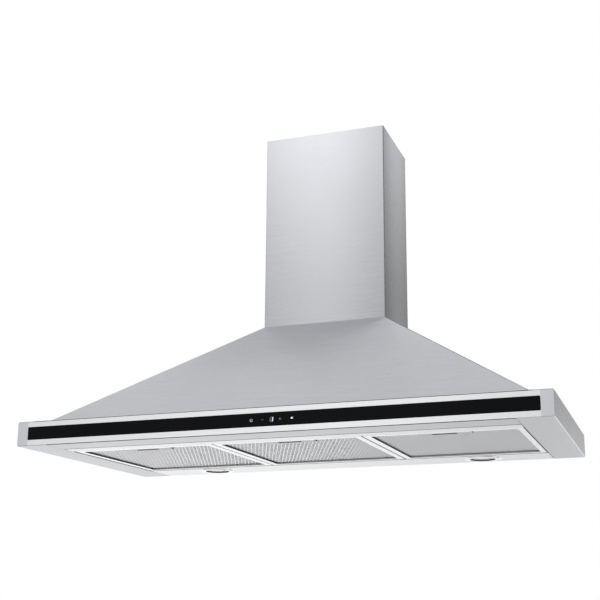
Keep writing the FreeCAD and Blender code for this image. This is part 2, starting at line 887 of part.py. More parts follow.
def motor_bracket():
    """Three arms that carry the motor from the right cheek."""
    ring = tube("motor_radius + 2", "motor_radius - 1.9", "motor_ring", "motor_start + 2")
    flange = tube("inlet_radius + 12", "inlet_radius + 2", CHEEK_OUTER, "bracket_plate")
    arms = []
    for angle in ARM_ANGLES:
        arm = doc.addObject("Part::Box", "Arm")
        cosine = f"{math.cos(math.radians(angle)):.6f}"
        sine = f"{math.sin(math.radians(angle)):.6f}"
        reach = "(motor_radius + 1)"
        bind(arm, "Length", f"{CHEEK_OUTER} + bracket_plate - motor_ring")
        bind(arm, "Width", "arm_width")
        bind(arm, "Height", "inlet_radius + arm_width - motor_radius")
        arm.Placement.Rotation = FreeCAD.Rotation(Vector(1, 0, 0), angle - 90)
        bind(arm, "Placement.Base.x", "motor_ring")
        bind(arm, "Placement.Base.y", f"blower_middle + {reach}*{cosine} - arm_width/2*{sine}")
        bind(arm, "Placement.Base.z", f"blower_height + {reach}*{sine} + arm_width/2*{cosine}")
        arms.append(arm)
    # The arms step over the inlet's rolled lip and stay clear of the cheek itself.
    inside = "inlet_radius - 2.5"
    clear_lip = tube("inlet_radius + 1", inside, "casing_half - inlet_lip + 2", "inlet_lip + 0.2")
    cheek_run = f"{CHEEK_OUTER} - motor_ring + inlet_lip"
    clear_cheek = tube("scroll_end", inside, "motor_ring - inlet_lip", cheek_run)
    return cut(fuse(ring, flange, *arms), clear_lip, clear_cheek)


def blower_bolts():
    pieces = []
    for angle in BOLT_ANGLES:
        turn = math.radians(angle)
        y = f"blower_middle + (inlet_radius + 7)*{math.cos(turn):.6f}"
        z = f"blower_height + (inlet_radius + 7)*{math.sin(turn):.6f}"
        pieces.append(rod("bolt_radius", (f"{CHEEK_OUTER} + bracket_plate", y, z), "bolt_head", "x"))
    return group(pieces)


def motor_capacitor():
    foot = ("capacitor_place", "capacitor_depth", "capacitor_low")
    terminal = ("capacitor_place", "capacitor_depth", "capacitor_low + capacitor_height - 2")
    return fuse(rod("capacitor_radius", foot, "capacitor_height"), rod("capacitor_radius/4", terminal, "8"))


# ---------------------------------------------------------------- outlet


def chimney_seat():
    """The upright collar on which the blower's deck hangs and round which the chimney stands."""
    rings = [
        rectangle(both_sides(f"{STACK_X} - ({inset})"), (f"{STACK_Y} + {inset}", f"-({inset})"))
        for inset in ("seat_play", "seat_play + seat_sheet")
    ]
    return plate("XY", "seat_low", "seat_top", rings)


GLAND = ("gland_place", "gland_depth")
OUTLET = ("0", "outlet_middle")
DECK_TOP = "(deck_low + casing_sheet)"


def blower_deck():
    outline = rectangle(both_sides(f"{STACK_X} - deck_play"), (f"{STACK_Y} + deck_play", "-deck_play"))
    holes = [(*OUTLET, "outlet_radius - 3"), (*GLAND, "gland_thread + 0.1")]
    return plate("XY", "deck_low", DECK_TOP, [outline], holes)


def outlet_collar():
    """The duct's spigot, with the damper's pin across it and a ledge its flaps rest on."""
    foot = rod("outlet_radius + outlet_foot", (*OUTLET, DECK_TOP), "foot_thickness")
    spigot = rod("outlet_radius", (*OUTLET, DECK_TOP), f"collar_top - {DECK_TOP}")
    bore = rod("outlet_radius - outlet_wall", (*OUTLET, "deck_low"), "collar_top - deck_low + 1")
    ledge_top = "pin_height - flap_thickness + 0.2"
    ledge = cut(
        rod("outlet_radius - outlet_wall/2", (*OUTLET, f"{ledge_top} - casing_sheet"), "casing_sheet"),
        rod("outlet_radius - 5", (*OUTLET, f"{ledge_top} - 2*casing_sheet"), "3*casing_sheet"),
        box(
            both_sides("outlet_radius"),
            ("outlet_middle - 2*pin_radius - 2", "outlet_middle + 2*pin_radius + 2"),
            ("deck_low", "pin_height"),
        ),
    )
    pin_hole = rod("pin_radius", across_outlet("-1"), "2*outlet_radius + 2", "x")
    return cut(fuse(cut(fuse(foot, spigot), bore), ledge), pin_hole)


def across_outlet(inset):
    """A point on the damper pin's axis, set in from the collar's left side."""
    return (f"{inset} - outlet_radius", "outlet_middle", "pin_height")


def damper_pin():
    return rod("pin_radius - 0.01", across_outlet("0.2"), "2*outlet_radius - 0.4", "x")


def damper_flap(side, knuckles):
    """A half-disc leaf that lifts about the pin; side is -1 for the front leaf."""
    low, high = "pin_height - flap_thickness/2", "pin_height + flap_thickness/2"
    disc = rod("flap_radius", (*OUTLET, low), "flap_thickness")

    def strip(near, far):
        """The depth range between two distances behind or in front of the pin."""
        if side < 0:
            return (f"outlet_middle - ({far})", f"outlet_middle - ({near})")
        return (f"outlet_middle + {near}", f"outlet_middle + {far}")

    half = box(both_sides("outlet_radius"), strip("flap_gap", "outlet_radius"), (low, high))
    pieces = [common(disc, half)]
    for start, end in knuckles:
        pieces.append(rod("knuckle_radius", (start, "outlet_middle", "pin_height"), end - start, "x"))
        pieces.append(box((start, end), strip("pin_radius + 0.5", "flap_gap + 0.8"), (low, high)))
    bore = rod("pin_radius + pin_play", across_outlet("0"), "2*outlet_radius", "x")
    return cut(fuse(*pieces), bore)


# ---------------------------------------------------------------- chimney


def stack_outline(play, return_length, skin="sheet_thickness"):
    """A U-shaped sheet with two rear returns, set in from the outer chimney by play."""
    side = f"({STACK_X} - ({play}))"
    front = f"({STACK_Y} + ({play}))"
    rear = f"(-({play}))"
    return [
        (f"-{side}", front),
        (side, front),
        (side, rear),
        (f"{side} - {return_length}", rear),
        (f"{side} - {return_length}", f"{rear} - {skin}"),
        (f"{side} - {skin}", f"{rear} - {skin}"),
        (f"{side} - {skin}", f"{front} + {skin}"),
        (f"-{side} + {skin}", f"{front} + {skin}"),
        (f"-{side} + {skin}", f"{rear} - {skin}"),
        (f"-{side} + {return_length}", f"{rear} - {skin}"),
        (f"-{side} + {return_length}", rear),
        (f"-{side}", rear),
    ]


STACK_TOP = "slope_top + chimney_height"
INNER_PLAY = "sheet_thickness + chimney_play"
GUIDE_Y = (-150, -50)
GUIDE_X = (-70, 70)


def lower_chimney():
    return plate("XY", "slope_top", STACK_TOP, [stack_outline("0", "chimney_return")])


def upper_chimney():
    outline = stack_outline(INNER_PLAY, "chimney_return - 2")
    return plate("XY", "upper_low", "upper_low + upper_height", [outline])


def chimney_guides():
    """Plastic pads that keep the sliding sheet off the outer one."""
    pieces = []
    height = (f"{STACK_TOP} - guide_low", f"{STACK_TOP} - guide_high")
    inner_x = f"({STACK_X} - {SKIN})"
    for y in GUIDE_Y:
        pieces.append(box((f"{inner_x} - guide_thickness", inner_x), (y - 15, y + 15), height))
        pieces.append(box((f"-{inner_x}", f"guide_thickness - {inner_x}"), (y - 15, y + 15), height))
    inner_y = f"{STACK_Y} + {SKIN}"
    for x in GUIDE_X:
        pieces.append(box((x - 20, x + 20), (inner_y, f"{inner_y} + guide_thickness"), height))
    return group(pieces)


def upper_bracket():
    """The wall bracket that ends up under the ceiling, fixed in the upper chimney's top."""
    reach = f"({STACK_X} - ({INNER_PLAY}) - {SKIN} - 0.1)"
    rear = f"(-({INNER_PLAY}) - {SKIN} - 0.1)"
    height = ("bracket_low", "bracket_high")
    pieces = [
        box(both_sides(reach), (f"{rear} - bracket_sheet", rear), height),
        box((f"-{reach}", f"bracket_sheet - {reach}"), (f"{rear} - bracket_ear", rear), height),
        box((f"{reach} - bracket_sheet", reach), (f"{rear} - bracket_ear", rear), height),
    ]
    middle = "(bracket_low + bracket_high)/2"
    holes = []
    for side in (-1, 1):
        foot = (f"{side}*bracket_hole", f"{rear} - 5*bracket_sheet", middle)
        holes.append(rod("bracket_hole_radius", foot, "8*bracket_sheet", "y"))
    return cut(fuse(*pieces), *holes)


# ---------------------------------------------------------------- electrics


def control_space(inset):
    """The control box's footprint, set in on every side."""
    return (
        (f"control_left + {inset}", f"control_right - ({inset})"),
        (f"control_front + {inset}", f"control_rear - ({inset})"),
    )


def control_box():
    """An open-topped box with a notch for its wires under the lid."""
    shell = box(*control_space("0"), ("control_low", "control_high"))
    hollow = box(*control_space("control_wall"), ("control_low + control_wall", "control_high + 1"))
    wire_notch = box(
        ("control_left + 12", "control_left + 32"),
        ("control_front - 1", "control_front + 2*control_wall"),
        ("control_high - 10", "control_high + 1"),
    )
    return cut(shell, hollow, wire_notch)


def control_box_lid():
    return box(*control_space("0"), ("control_high", "control_high + control_wall"))


def power_board():
    """The board with its transformer and a relay."""
    top = "(control_low + board_lift + board_thickness)"
    board = box(*control_space("2*control_wall"), ("control_low + board_lift", top))
    transformer = box(
        ("control_right - 40", "control_right - 12"),
        ("control_rear - 46", "control_rear - 18"),
        (top, f"{top} + 22"),
    )
    relay = box(
        ("control_left + 14", "control_left + 28"),
        ("control_rear - 26", "control_rear - 8"),
        (top, f"{top} + 14"),
    )
    return fuse(board, transformer, relay)


def cable_gland():
    """The mains cord's way through the deck, up into the chimney."""
    collar = rod("gland_collar", (*GLAND, DECK_TOP), "gland_collar - 2")
    thread = rod("gland_thread", (*GLAND, "deck_low - gland_thread"), "gland_thread + casing_sheet")
    bore = rod("gland_bore", (*GLAND, "deck_low - 2*gland_thread"), "5*gland_thread")
    return cut(fuse(collar, thread), bore)


# ---------------------------------------------------------------- assembly


FILTERS = {"left": "-filter_pitch", "middle": "0", "right": "filter_pitch"}
SIDES = {"left": -1, "right": 1}

keep(front_slope(), "front_slope")
keep(canopy_back(), "canopy_back")
keep(front_channel(), "front_channel")
keep(front_fascia(), "front_fascia")
keep(control_glass(), "control_glass")
keep(touch_housing(), "touch_housing")
keep(touch_board(), "touch_board")
keep(touch_springs(), "touch_springs")
keep(led_display(), "led_display")
keep(front_rail(), "front_rail")
keep(rail_screws(), "rail_screws")
keep(lamp_panel(), "lamp_panel")
for name, side in SIDES.items():
    keep(side_slope(side), f"{name}_slope")
    keep(side_skirt(side), f"{name}_skirt")
    keep(lamp_bezel(side), f"lamp_bezel_{name}")
    keep(lamp_lens(side), f"lamp_lens_{name}")
    keep(lamp_body(side), f"lamp_body_{name}")
    keep(casing_side(side), f"blower_cheek_{name}")
for name, middle in FILTERS.items():
    keep(filter_frame(middle), f"filter_frame_{name}")
    keep(filter_mesh(middle), f"filter_mesh_{name}")
    keep(latch_bezel(middle), f"latch_bezel_{name}")
    keep(latch_slider(middle), f"latch_slider_{name}")
    keep(latch_springs(middle), f"latch_springs_{name}")
keep(scroll_wrap(), "blower_scroll")
keep(impeller_wheel(), "impeller_wheel")
keep(impeller_shaft(), "impeller_shaft")
keep(blower_motor(), "blower_motor")
keep(motor_bracket(), "motor_bracket")
keep(blower_bolts(), "blower_bolts")
keep(motor_capacitor(), "motor_capacitor")
keep(chimney_seat(), "chimney_seat")
keep(blower_deck(), "blower_deck")
keep(outlet_collar(), "outlet_collar")
keep(damper_pin(), "damper_pin")
keep(damper_flap(-1, [(-60, -20), (20, 60)]), "damper_flap_front")
keep(damper_flap(1, [(-19, 19)]), "damper_flap_rear")
keep(lower_chimney(), "lower_chimney")
keep(upper_chimney(), "upper_chimney")
keep(upper_bracket(), "upper_bracket")
keep(chimney_guides(), "chimney_guides")
keep(control_box(), "control_box")
keep(control_box_lid(), "control_box_lid")
keep(power_board(), "power_board")
keep(cable_gland(), "cable_gland")

doc.recompute()

faults = [item.Name for item in doc.Objects if {"Invalid", "Error"} & set(item.State)]
faults += [item.Label for item in nodes if item.Shape.isNull() or not item.Shape.isValid()]
faults += [item.Label for item in nodes if not item.Shape.Solids]
if faults:
    raise SystemExit(f"failed objects: {faults}")

os.makedirs("parts", exist_ok=True)
for item in nodes:
    item.Shape.exportStep(f"parts/{item.Label}.step")
print(f"{len(nodes)} nodes written")
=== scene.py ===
import json
import math
import random

import bmesh
import bpy
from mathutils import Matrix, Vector


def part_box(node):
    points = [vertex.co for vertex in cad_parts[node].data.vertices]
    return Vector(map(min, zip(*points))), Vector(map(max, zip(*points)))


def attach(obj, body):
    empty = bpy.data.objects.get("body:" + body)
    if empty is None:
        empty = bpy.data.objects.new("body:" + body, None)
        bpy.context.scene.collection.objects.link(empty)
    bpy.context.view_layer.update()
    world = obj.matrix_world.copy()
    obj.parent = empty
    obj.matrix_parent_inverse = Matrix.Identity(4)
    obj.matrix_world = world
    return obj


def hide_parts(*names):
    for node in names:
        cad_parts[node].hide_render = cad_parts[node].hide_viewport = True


# A wall-mounted chimney hood: brushed steel canopy and chimney, a black glass touch strip, three expanded-mesh grease
# filters and two lamps. Metres, in the CAD frame: +X right, the wall at y = 0, the front at -Y, +Z up.

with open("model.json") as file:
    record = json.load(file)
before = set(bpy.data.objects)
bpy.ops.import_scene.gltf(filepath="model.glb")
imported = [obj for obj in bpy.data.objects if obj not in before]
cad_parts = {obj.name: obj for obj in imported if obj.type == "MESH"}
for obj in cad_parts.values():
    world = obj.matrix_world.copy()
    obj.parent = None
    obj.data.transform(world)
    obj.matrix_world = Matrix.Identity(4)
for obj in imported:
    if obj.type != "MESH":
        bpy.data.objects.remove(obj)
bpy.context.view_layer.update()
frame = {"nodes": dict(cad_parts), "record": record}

MM = 0.001
SIDES = {"left": -1, "right": 1}
FILTERS = ("left", "middle", "right")


# ---------------------------------------------------------------- node trees


class Tree:
    """A small writer for the node trees of materials and of the world."""

    def __init__(self, name, owners="materials"):
        self.owner = getattr(bpy.data, owners).new(name)
        self.owner.use_nodes = True
        self.nodes = self.owner.node_tree.nodes
        self.links = self.owner.node_tree.links
        self.nodes.clear()

    def add(self, kind, settings=None, inputs=None):
        """A node; an input is a constant or another node's output socket."""
        node = self.nodes.new(kind)
        for key, value in (settings or {}).items():
            setattr(node, key, value)
        for key, value in (inputs or {}).items():
            if isinstance(value, bpy.types.NodeSocket):
                self.links.new(value, node.inputs[key])
            else:
                node.inputs[key].default_value = value
        return node

    def position(self):
        return self.add("ShaderNodeTexCoord").outputs["Object"]

    def noise(self, scale, detail=2.0, stretch=(1, 1, 1), roughness=0.5):
        mapping = self.add("ShaderNodeMapping", inputs={"Vector": self.position(), "Scale": stretch})
        inputs = {"Vector": mapping.outputs["Vector"], "Scale": scale, "Detail": detail, "Roughness": roughness}
        return self.add("ShaderNodeTexNoise", inputs=inputs).outputs["Fac"]

    def spread(self, value, low, high, start=0.3, end=0.7):
        """A value between start and end, stretched to run from low to high."""
        inputs = {"Value": value, "From Min": start, "From Max": end, "To Min": low, "To Max": high}
        return self.add("ShaderNodeMapRange", inputs=inputs).outputs["Result"]

    def math(self, operation, first, second):
        return self.add("ShaderNodeMath", {"operation": operation}, {0: first, 1: second}).outputs[0]

    def tones(self, value, *colours):
        """A colour ramp with evenly spaced stops."""
        ramp = self.add("ShaderNodeValToRGB", inputs={"Fac": value})
        elements = ramp.color_ramp.elements
        while len(elements) < len(colours):
            elements.new(0.5)
        for number, colour in enumerate(colours):
            elements[number].position = number / (len(colours) - 1)
            elements[number].color = (*colour, 1)
        return ramp.outputs["Color"]

    def bump(self, value, strength, distance, **others):
        inputs = {"Height": value, "Strength": strength, "Distance": distance, **others}
        return self.add("ShaderNodeBump", inputs=inputs).outputs["Normal"]

    def surface(self, **inputs):
        named = {key.replace("_", " "): value for key, value in inputs.items()}
        shader = self.add("ShaderNodeBsdfPrincipled", inputs=named)
        self.add("ShaderNodeOutputMaterial", inputs={"Surface": shader.outputs["BSDF"]})
        return self.owner


def grey(value, tint=0.0):
    """A neutral grey; a positive tint leans to blue."""
    return (value * (1 - 0.3 * tint), value, value * (1 + tint))


# ---------------------------------------------------------------- materials


FINE_GRAIN = {"x": (60.0, 1100.0, 1100.0), "y": (1100.0, 60.0, 1100.0)}
LONG_GRAIN = {"x": (12.0, 420.0, 420.0), "y": (420.0, 12.0, 420.0)}


def crowned(tree, normal, axis, middle, crown):
    """The slight bulge of a folded panel about its middle."""
    across = tree.add("ShaderNodeSeparateXYZ", inputs={"Vector": tree.position()}).outputs[axis.upper()]
    from_middle = tree.math("SUBTRACT", across, middle)
    bulge = tree.math("MULTIPLY", tree.math("MULTIPLY", from_middle, from_middle), -crown)
    return tree.bump(bulge, 1.0, 1.0, Normal=normal)


def brushed_steel(name, grain, level, rough=0.30, anisotropy=0.55, crown=0.0, middle=0.0, tint=0.045, metallic=1.0,
                  contrast=0.035):
    """Stainless sheet brushed along one axis."""
    tree = Tree(name)
    fine = tree.noise(1.0, 3.0, FINE_GRAIN[grain], 0.6)
    long = tree.noise(1.0, 2.0, LONG_GRAIN[grain])
    cloud = tree.noise(6.0, 3.0)
    strokes = tree.math("ADD", tree.math("MULTIPLY", fine, 0.6), tree.math("MULTIPLY", long, 0.4))
    shades = [grey(level * share, tint) for share in (1 - contrast, 1, 1 + contrast)]
    tone = tree.tones(tree.spread(strokes, 0.0, 1.0, 0.34, 0.66), *shades)
    uneven = tree.math("ADD", tree.spread(strokes, rough - 0.04, rough + 0.05), tree.spread(cloud, -0.02, 0.02))
    tangent = tree.add("ShaderNodeTangent", {"direction_type": "RADIAL", "axis": "Z"}).outputs["Tangent"]
    normal = tree.bump(strokes, 0.05, 0.00002)
    if crown:
        normal = crowned(tree, normal, grain, middle, crown)
    return tree.surface(
        Base_Color=tone,
        Metallic=metallic,
        Roughness=uneven,
        Anisotropic=anisotropy,
        Tangent=tangent,
        Normal=normal,
    )


def plain_metal(name, colour, rough, scale=60.0, strength=0.15, metallic=1.0):
    """Cast, rolled or turned metal with a faint mottle."""
    tree = Tree(name)
    mottle = tree.noise(scale, 4.0)
    fine = tree.noise(scale * 12, 2.0)
    dark = tuple(channel * 0.88 for channel in colour)
    light = tuple(min(1.0, channel * 1.06) for channel in colour)
    return tree.surface(
        Base_Color=tree.tones(tree.spread(mottle, 0.0, 1.0), dark, colour, light),
        Metallic=metallic,
        Roughness=tree.spread(fine, rough - 0.05, rough + 0.06),
        Normal=tree.bump(fine, strength, 0.00005),
    )


def galvanised(name):
    """Zinc-coated sheet with its patchy spangle."""
    tree = Tree(name)
    cells = tree.add(
        "ShaderNodeTexVoronoi", {"feature": "F1"}, {"Vector": tree.position(), "Scale": 120.0, "Randomness": 1.0}
    )
    patch = tree.add("ShaderNodeSeparateColor", inputs={"Color": cells.outputs["Color"]}).outputs[0]
    fine = tree.noise(900.0, 2.0)
    return tree.surface(
        Base_Color=tree.tones(patch, grey(0.44, 0.02), grey(0.53, 0.02), grey(0.60, 0.02)),
        Metallic=1.0,
        Roughness=tree.spread(patch, 0.34, 0.50, 0.0, 1.0),
        Normal=tree.bump(fine, 0.2, 0.00004),
    )


def plastic(name, colour, rough=0.45, grain=1500.0):
    """Moulded plastic with a fine spark-eroded texture."""
    tree = Tree(name)
    texture = tree.noise(grain, 2.0)
    cloud = tree.noise(18.0, 3.0)
    dark = tuple(channel * 0.92 for channel in colour)
    return tree.surface(
        Base_Color=tree.tones(tree.spread(cloud, 0.0, 1.0), dark, colour),
        Roughness=tree.spread(texture, rough - 0.06, rough + 0.08),
        Normal=tree.bump(texture, 0.25, 0.00006),
    )


def black_glass():
    """Back-painted toughened glass."""
    tree = Tree("black_glass_look")
    depth = tree.noise(9.0, 2.0)
    film = tree.noise(35.0, 4.0)
    return tree.surface(
        Base_Color=tree.tones(tree.spread(depth, 0.0, 1.0), (0.0032, 0.0035, 0.0042), (0.0042, 0.0046, 0.0054)),
        Roughness=tree.spread(film, 0.05, 0.11),
        Specular_IOR_Level=0.06,
    )


def lamp_glass():
    """Pressed diffuser glass, frosted on its inner face."""
    tree = Tree("lamp_glass_look")
    frost = tree.noise(2400.0, 2.0)
    cloud = tree.noise(60.0, 2.0)
    return tree.surface(
        Base_Color=tree.tones(tree.spread(cloud, 0.0, 1.0), (0.86, 0.87, 0.86), (0.94, 0.95, 0.94)),
        Roughness=tree.spread(frost, 0.18, 0.30),
        Coat_Weight=0.6,
        Coat_Roughness=0.05,
        Normal=tree.bump(frost, 0.3, 0.00006),
    )


def circuit_board():
    """Green solder mask over copper tracks."""
    tree = Tree("circuit_board_look")
    tracks = tree.add(
        "ShaderNodeTexBrick",
        {"offset": 0.37, "squash": 0.6},
        {
            "Vector": tree.position(),
            "Scale": 160.0,
            "Mortar Size": 0.035,
            "Color1": (0.010, 0.085, 0.032, 1),
            "Color2": (0.014, 0.110, 0.040, 1),
            "Mortar": (0.045, 0.230, 0.080, 1),
        },
    )
    return tree.surface(
        Base_Color=tracks.outputs["Color"],
        Roughness=tree.spread(tree.noise(300.0), 0.28, 0.42),
        Normal=tree.bump(tracks.outputs["Fac"], 0.3, 0.0001),
    )


def lit_symbol(name, colour, strength):
    """Light through the glass, a little uneven across each symbol."""
    tree = Tree(name)
    uneven = tree.noise(700.0, 2.0)
    dim = tuple(channel * 0.78 for channel in colour)
    glow = tree.tones(tree.spread(uneven, 0.0, 1.0), dim, colour)
    return tree.surface(
        Base_Color=(0.02, 0.02, 0.02, 1),
        Emission_Color=glow,
        Emission_Strength=strength,
        Roughness=0.3,
    )


LOOKS = {
    "steel_x": brushed_steel("steel_brushed_x", "x", 0.61, 0.34, 0.4),
    "slope": brushed_steel("steel_slope", "x", 0.50, 0.36, 0.3, metallic=0.6, contrast=0.10),
    "steel_y": brushed_steel("steel_brushed_y", "y", 0.61, 0.27),
    "stack": brushed_steel("steel_stack", "x", 0.61, 0.24, 0.6, 0.48),
    # The chimney's side faces: grain turned, and a darker level than the front, which is painted shade.
    "stack_side": brushed_steel("steel_stack_side", "y", 0.56, 0.24, 0.6, 0.7, -0.08),
    "fascia": brushed_steel("steel_fascia", "x", 0.93, 0.22, 0.5, tint=0.01),
    # A darker copy of the fascia steel for the plate's two ends: painted shade.
    "fascia_end_shaded": brushed_steel("steel_fascia_end_shaded", "y", 0.72, 0.30, 0.3),
    # Darker copies of the steel for faces that look down: painted shade.
    "shaded_under_x": brushed_steel("steel_shaded_under_x", "x", 0.50, 0.30, 0.0),
    "shaded_under_y": brushed_steel("steel_shaded_under_y", "y", 0.50, 0.30, 0.0),
    "liner": brushed_steel("steel_liner", "x", 0.76, 0.28, 0.0, tint=0.02),
    # Near-black steel for thin lines of painted shade: groove walls, fold faces, top edges and bores where shade
    # falls.
    "painted_shade_line": plain_metal("steel_painted_shade_line", grey(0.10, 0.01), 0.50, 300.0),
    "frame_aluminium": plain_metal("frame_aluminium", grey(0.88, 0.004), 0.24, 200.0),
    # Darker copies of the frame aluminium, painted shade: near-black for the recess walls, mid grey for the rear wall
    # that faces the front.
    "frame_recess_shade": plain_metal("frame_recess_shade", grey(0.05, 0.01), 0.5, 200.0, 0.15, 0.5),
    "recess_rear_shade": plain_metal("frame_recess_rear_shade", grey(0.60, 0.01), 0.5, 200.0, 0.15, 0.5),
    "mesh_aluminium": plain_metal("mesh_aluminium", grey(0.93, 0.025), 0.32, 300.0, 0.15),
    "foil": plain_metal("mesh_foil", grey(0.76, 0.025), 0.40, 500.0, 0.2),
    # Near-black plastic for the finger slot's pocket walls and tab: painted shade in the slot.
    "latch_shade_dark": plastic("latch_shade_dark_look", grey(0.07, 0.01), 0.45, 1800.0),
    "lamp_chrome": plain_metal("lamp_chrome", grey(0.86), 0.14, 200.0, 0.05),
    "lamp_aluminium": plain_metal("lamp_aluminium_look", grey(0.72), 0.38),
    "screw": plain_metal("screw_steel_look", grey(0.60), 0.30, 300.0),
    "spring": plain_metal("spring_steel_look", grey(0.55), 0.28, 300.0),
    "motor": plain_metal("motor_steel_look", grey(0.06), 0.42, 80.0, 0.3, 0.4),
    "galvanised": galvanised("galvanised_look"),
    "latch": plastic("latch_grey_look", grey(0.50, 0.01), 0.36, 1800.0),
    "black_plastic": plastic("black_plastic_look", (0.022, 0.022, 0.024)),
    "white_plastic": plastic("white_plastic_look", (0.74, 0.74, 0.71)),
    "duct_plastic": plastic("duct_plastic_look", (0.045, 0.046, 0.048), 0.5),
    "black_glass": black_glass(),
    "lamp_glass": lamp_glass(),
    "board": circuit_board(),
    "symbol_white": lit_symbol("symbol_white", (0.92, 0.95, 1.0), 1.0),
    "symbol_bright": lit_symbol("symbol_bright", (0.95, 0.97, 1.0), 1.9),
    "symbol_blue": lit_symbol("symbol_blue", (0.80, 0.86, 1.0), 1.35),
    # Also on the unlit digit bars, where the faint glow is painted light.
    "symbol_dim": lit_symbol("symbol_dim", (0.30, 0.33, 0.31), 0.55),
    "symbol_faint": lit_symbol("symbol_faint", (0.20, 0.21, 0.23), 0.45),
}

NODE_LOOKS = {
    "brushed_stainless": "steel_x",
    "galvanised_sheet": "galvanised",
    "filter_aluminium": "frame_aluminium",
    "latch_grey": "latch",
    "spring_steel": "spring",
    "screw_steel": "screw",
    "motor_steel": "motor",
    "lamp_chrome": "lamp_chrome",
    "lamp_glass": "lamp_glass",
    "lamp_aluminium": "lamp_aluminium",
    "black_glass": "black_glass",
    "black_plastic": "black_plastic",
    "white_plastic": "white_plastic",
    "duct_plastic": "duct_plastic",
    "board_green": "board",
    "display_white": "white_plastic",
}

# The CAD nodes that stay visible take the look of their material slot.
slot_of = {part["node"]: part["material_slot"] for part in frame["record"]["subparts"]}
for node_name, node_object in frame["nodes"].items():
    node_object.data.materials.clear()
    node_object.data.materials.append(LOOKS[NODE_LOOKS[slot_of[node_name]]])


# ---------------------------------------------------------------- mesh helpers


SMOOTH_LIMIT = math.cos(math.radians(35))


def corner_normals(bm):
    """Normals that keep wide flats flat: each corner follows its neighbours by their area."""
    areas = {face: face.calc_area() for face in bm.faces}
    normals = []
    for face in bm.faces:
        for vert in face.verts:
            total = Vector()
            for near in vert.link_faces:
                if near.normal.dot(face.normal) > SMOOTH_LIMIT:
                    total += near.normal * areas[near]
            normals.append(total.normalized() if total.length else face.normal.copy())
    return normals


def piece(name, bm, look, body, replaces=(), others=()):
    """Turns a bmesh into a finished piece that rides on a CAD body; others are (look, face test) pairs."""
    bmesh.ops.recalc_face_normals(bm, faces=bm.faces)
    for number, (_, belongs) in enumerate(others, start=1):
        for face in bm.faces:
            if belongs(face):
                face.material_index = number
    normals = corner_normals(bm)
    mesh = bpy.data.meshes.new(name)
    bm.to_mesh(mesh)
    bm.free()
    mesh.polygons.foreach_set("use_smooth", [True] * len(mesh.polygons))
    mesh.normals_split_custom_set(normals)
    mesh.materials.append(LOOKS[look])
    for other, _ in others:
        mesh.materials.append(LOOKS[other])
    item = bpy.data.objects.new(name, mesh)
    bpy.context.scene.collection.objects.link(item)
    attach(item, body)
    if replaces:
        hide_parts(*replaces)
    return item


def place(axis, u, v, w):
    """A point from its two outline coordinates and its place along the extrusion axis."""
    return {"x": (w, u, v), "y": (u, w, v), "z": (u, v, w)}[axis]


def rounded(outline, radius, steps=4):
    """A closed outline with each corner turned into an arc, as large as its edges allow."""
    points = []
    count = len(outline)
    for number in range(count):
        corner = Vector(outline[number])
        before = Vector(outline[number - 1]) - corner
        after = Vector(outline[(number + 1) % count]) - corner
        angle = before.angle(after)
        reach = min(radius / math.tan(angle / 2), 0.45 * before.length, 0.45 * after.length)
        arc = reach * math.tan(angle / 2)
        middle = corner + (before.normalized() + after.normalized()).normalized() * (arc / math.sin(angle / 2))
        start = corner + before.normalized() * reach - middle
        end = corner + after.normalized() * reach - middle
        sweep = start.angle_signed(end)
        for step in range(steps + 1):
            turn = -sweep * step / steps
            points.append(middle + Vector((
                start.x * math.cos(turn) - start.y * math.sin(turn),
                start.x * math.sin(turn) + start.y * math.cos(turn),
            )))
    return points


def prism(bm, outline, axis, low, high):
    """A closed prism with flat ends."""
    rings = [[bm.verts.new(place(axis, u, v, w)) for u, v in outline] for w in (low, high)]
    count = len(outline)
    for number in range(count):
        following = (number + 1) % count
        bm.faces.new((rings[0][number], rings[0][following], rings[1][following], rings[1][number]))
    for ring in rings:
        bm.faces.new(ring)


def plate(bm, outlines, axis, low, high, bevel=0.0, segments=2):
    """A flat plate with windows, its rims bevelled, alone in its bmesh so far; the edges go in their own order."""
    loops = []
    for outline in outlines:
        ring = [bm.verts.new(place(axis, u, v, low)) for u, v in outline]
        loops += [bm.edges.new((ring[number - 1], ring[number])) for number in range(len(ring))]
    bmesh.ops.triangle_fill(bm, edges=loops, use_beauty=True)
    bmesh.ops.dissolve_limit(bm, angle_limit=0.01, verts=[], edges=list(bm.edges))
    grown = bmesh.ops.extrude_face_region(bm, geom=list(bm.faces))
    shift = Vector(place(axis, 0, 0, high - low))
    moved = [item for item in grown["geom"] if isinstance(item, bmesh.types.BMVert)]
    bmesh.ops.translate(bm, vec=shift, verts=moved)
    bmesh.ops.recalc_face_normals(bm, faces=bm.faces)
    if bevel:
        through = Vector(place(axis, 0, 0, 1))
        rims = [
            edge for edge in bm.edges
            if len(edge.link_faces) == 2 and edge.calc_face_angle() > math.radians(60)
            and abs((edge.verts[0].co - edge.verts[1].co).dot(through)) < 1e-6
        ]
        bmesh.ops.bevel(bm, geom=rims, offset=bevel, segments=segments, profile=0.6, affect="EDGES")


def circle(x, y, radius, steps):
    return [
        (x + radius * math.cos(2 * math.pi * number / steps), y + radius * math.sin(2 * math.pi * number / steps))
        for number in range(steps)
    ]


def rectangle(u, v, inset=0.0):
    """The outline of two ranges, each end moved in by the inset."""
    u = (u[0] + inset, u[1] - inset)
    v = (v[0] + inset, v[1] - inset)
    return [(u[0], v[0]), (u[1], v[0]), (u[1], v[1]), (u[0], v[1])]


def block(bm, x, y, z, bevel):
    """A box with rounded edges."""
    made = bmesh.ops.create_cube(bm, size=1.0)["verts"]
    for vert in made:
        vert.co = Vector((
            x[0] if vert.co.x < 0 else x[1],
            y[0] if vert.co.y < 0 else y[1],
            z[0] if vert.co.z < 0 else z[1],
        ))
    edges = list({edge for vert in made for edge in vert.link_edges})
    bmesh.ops.bevel(bm, geom=edges, offset=bevel, segments=2, profile=0.6, affect="EDGES")


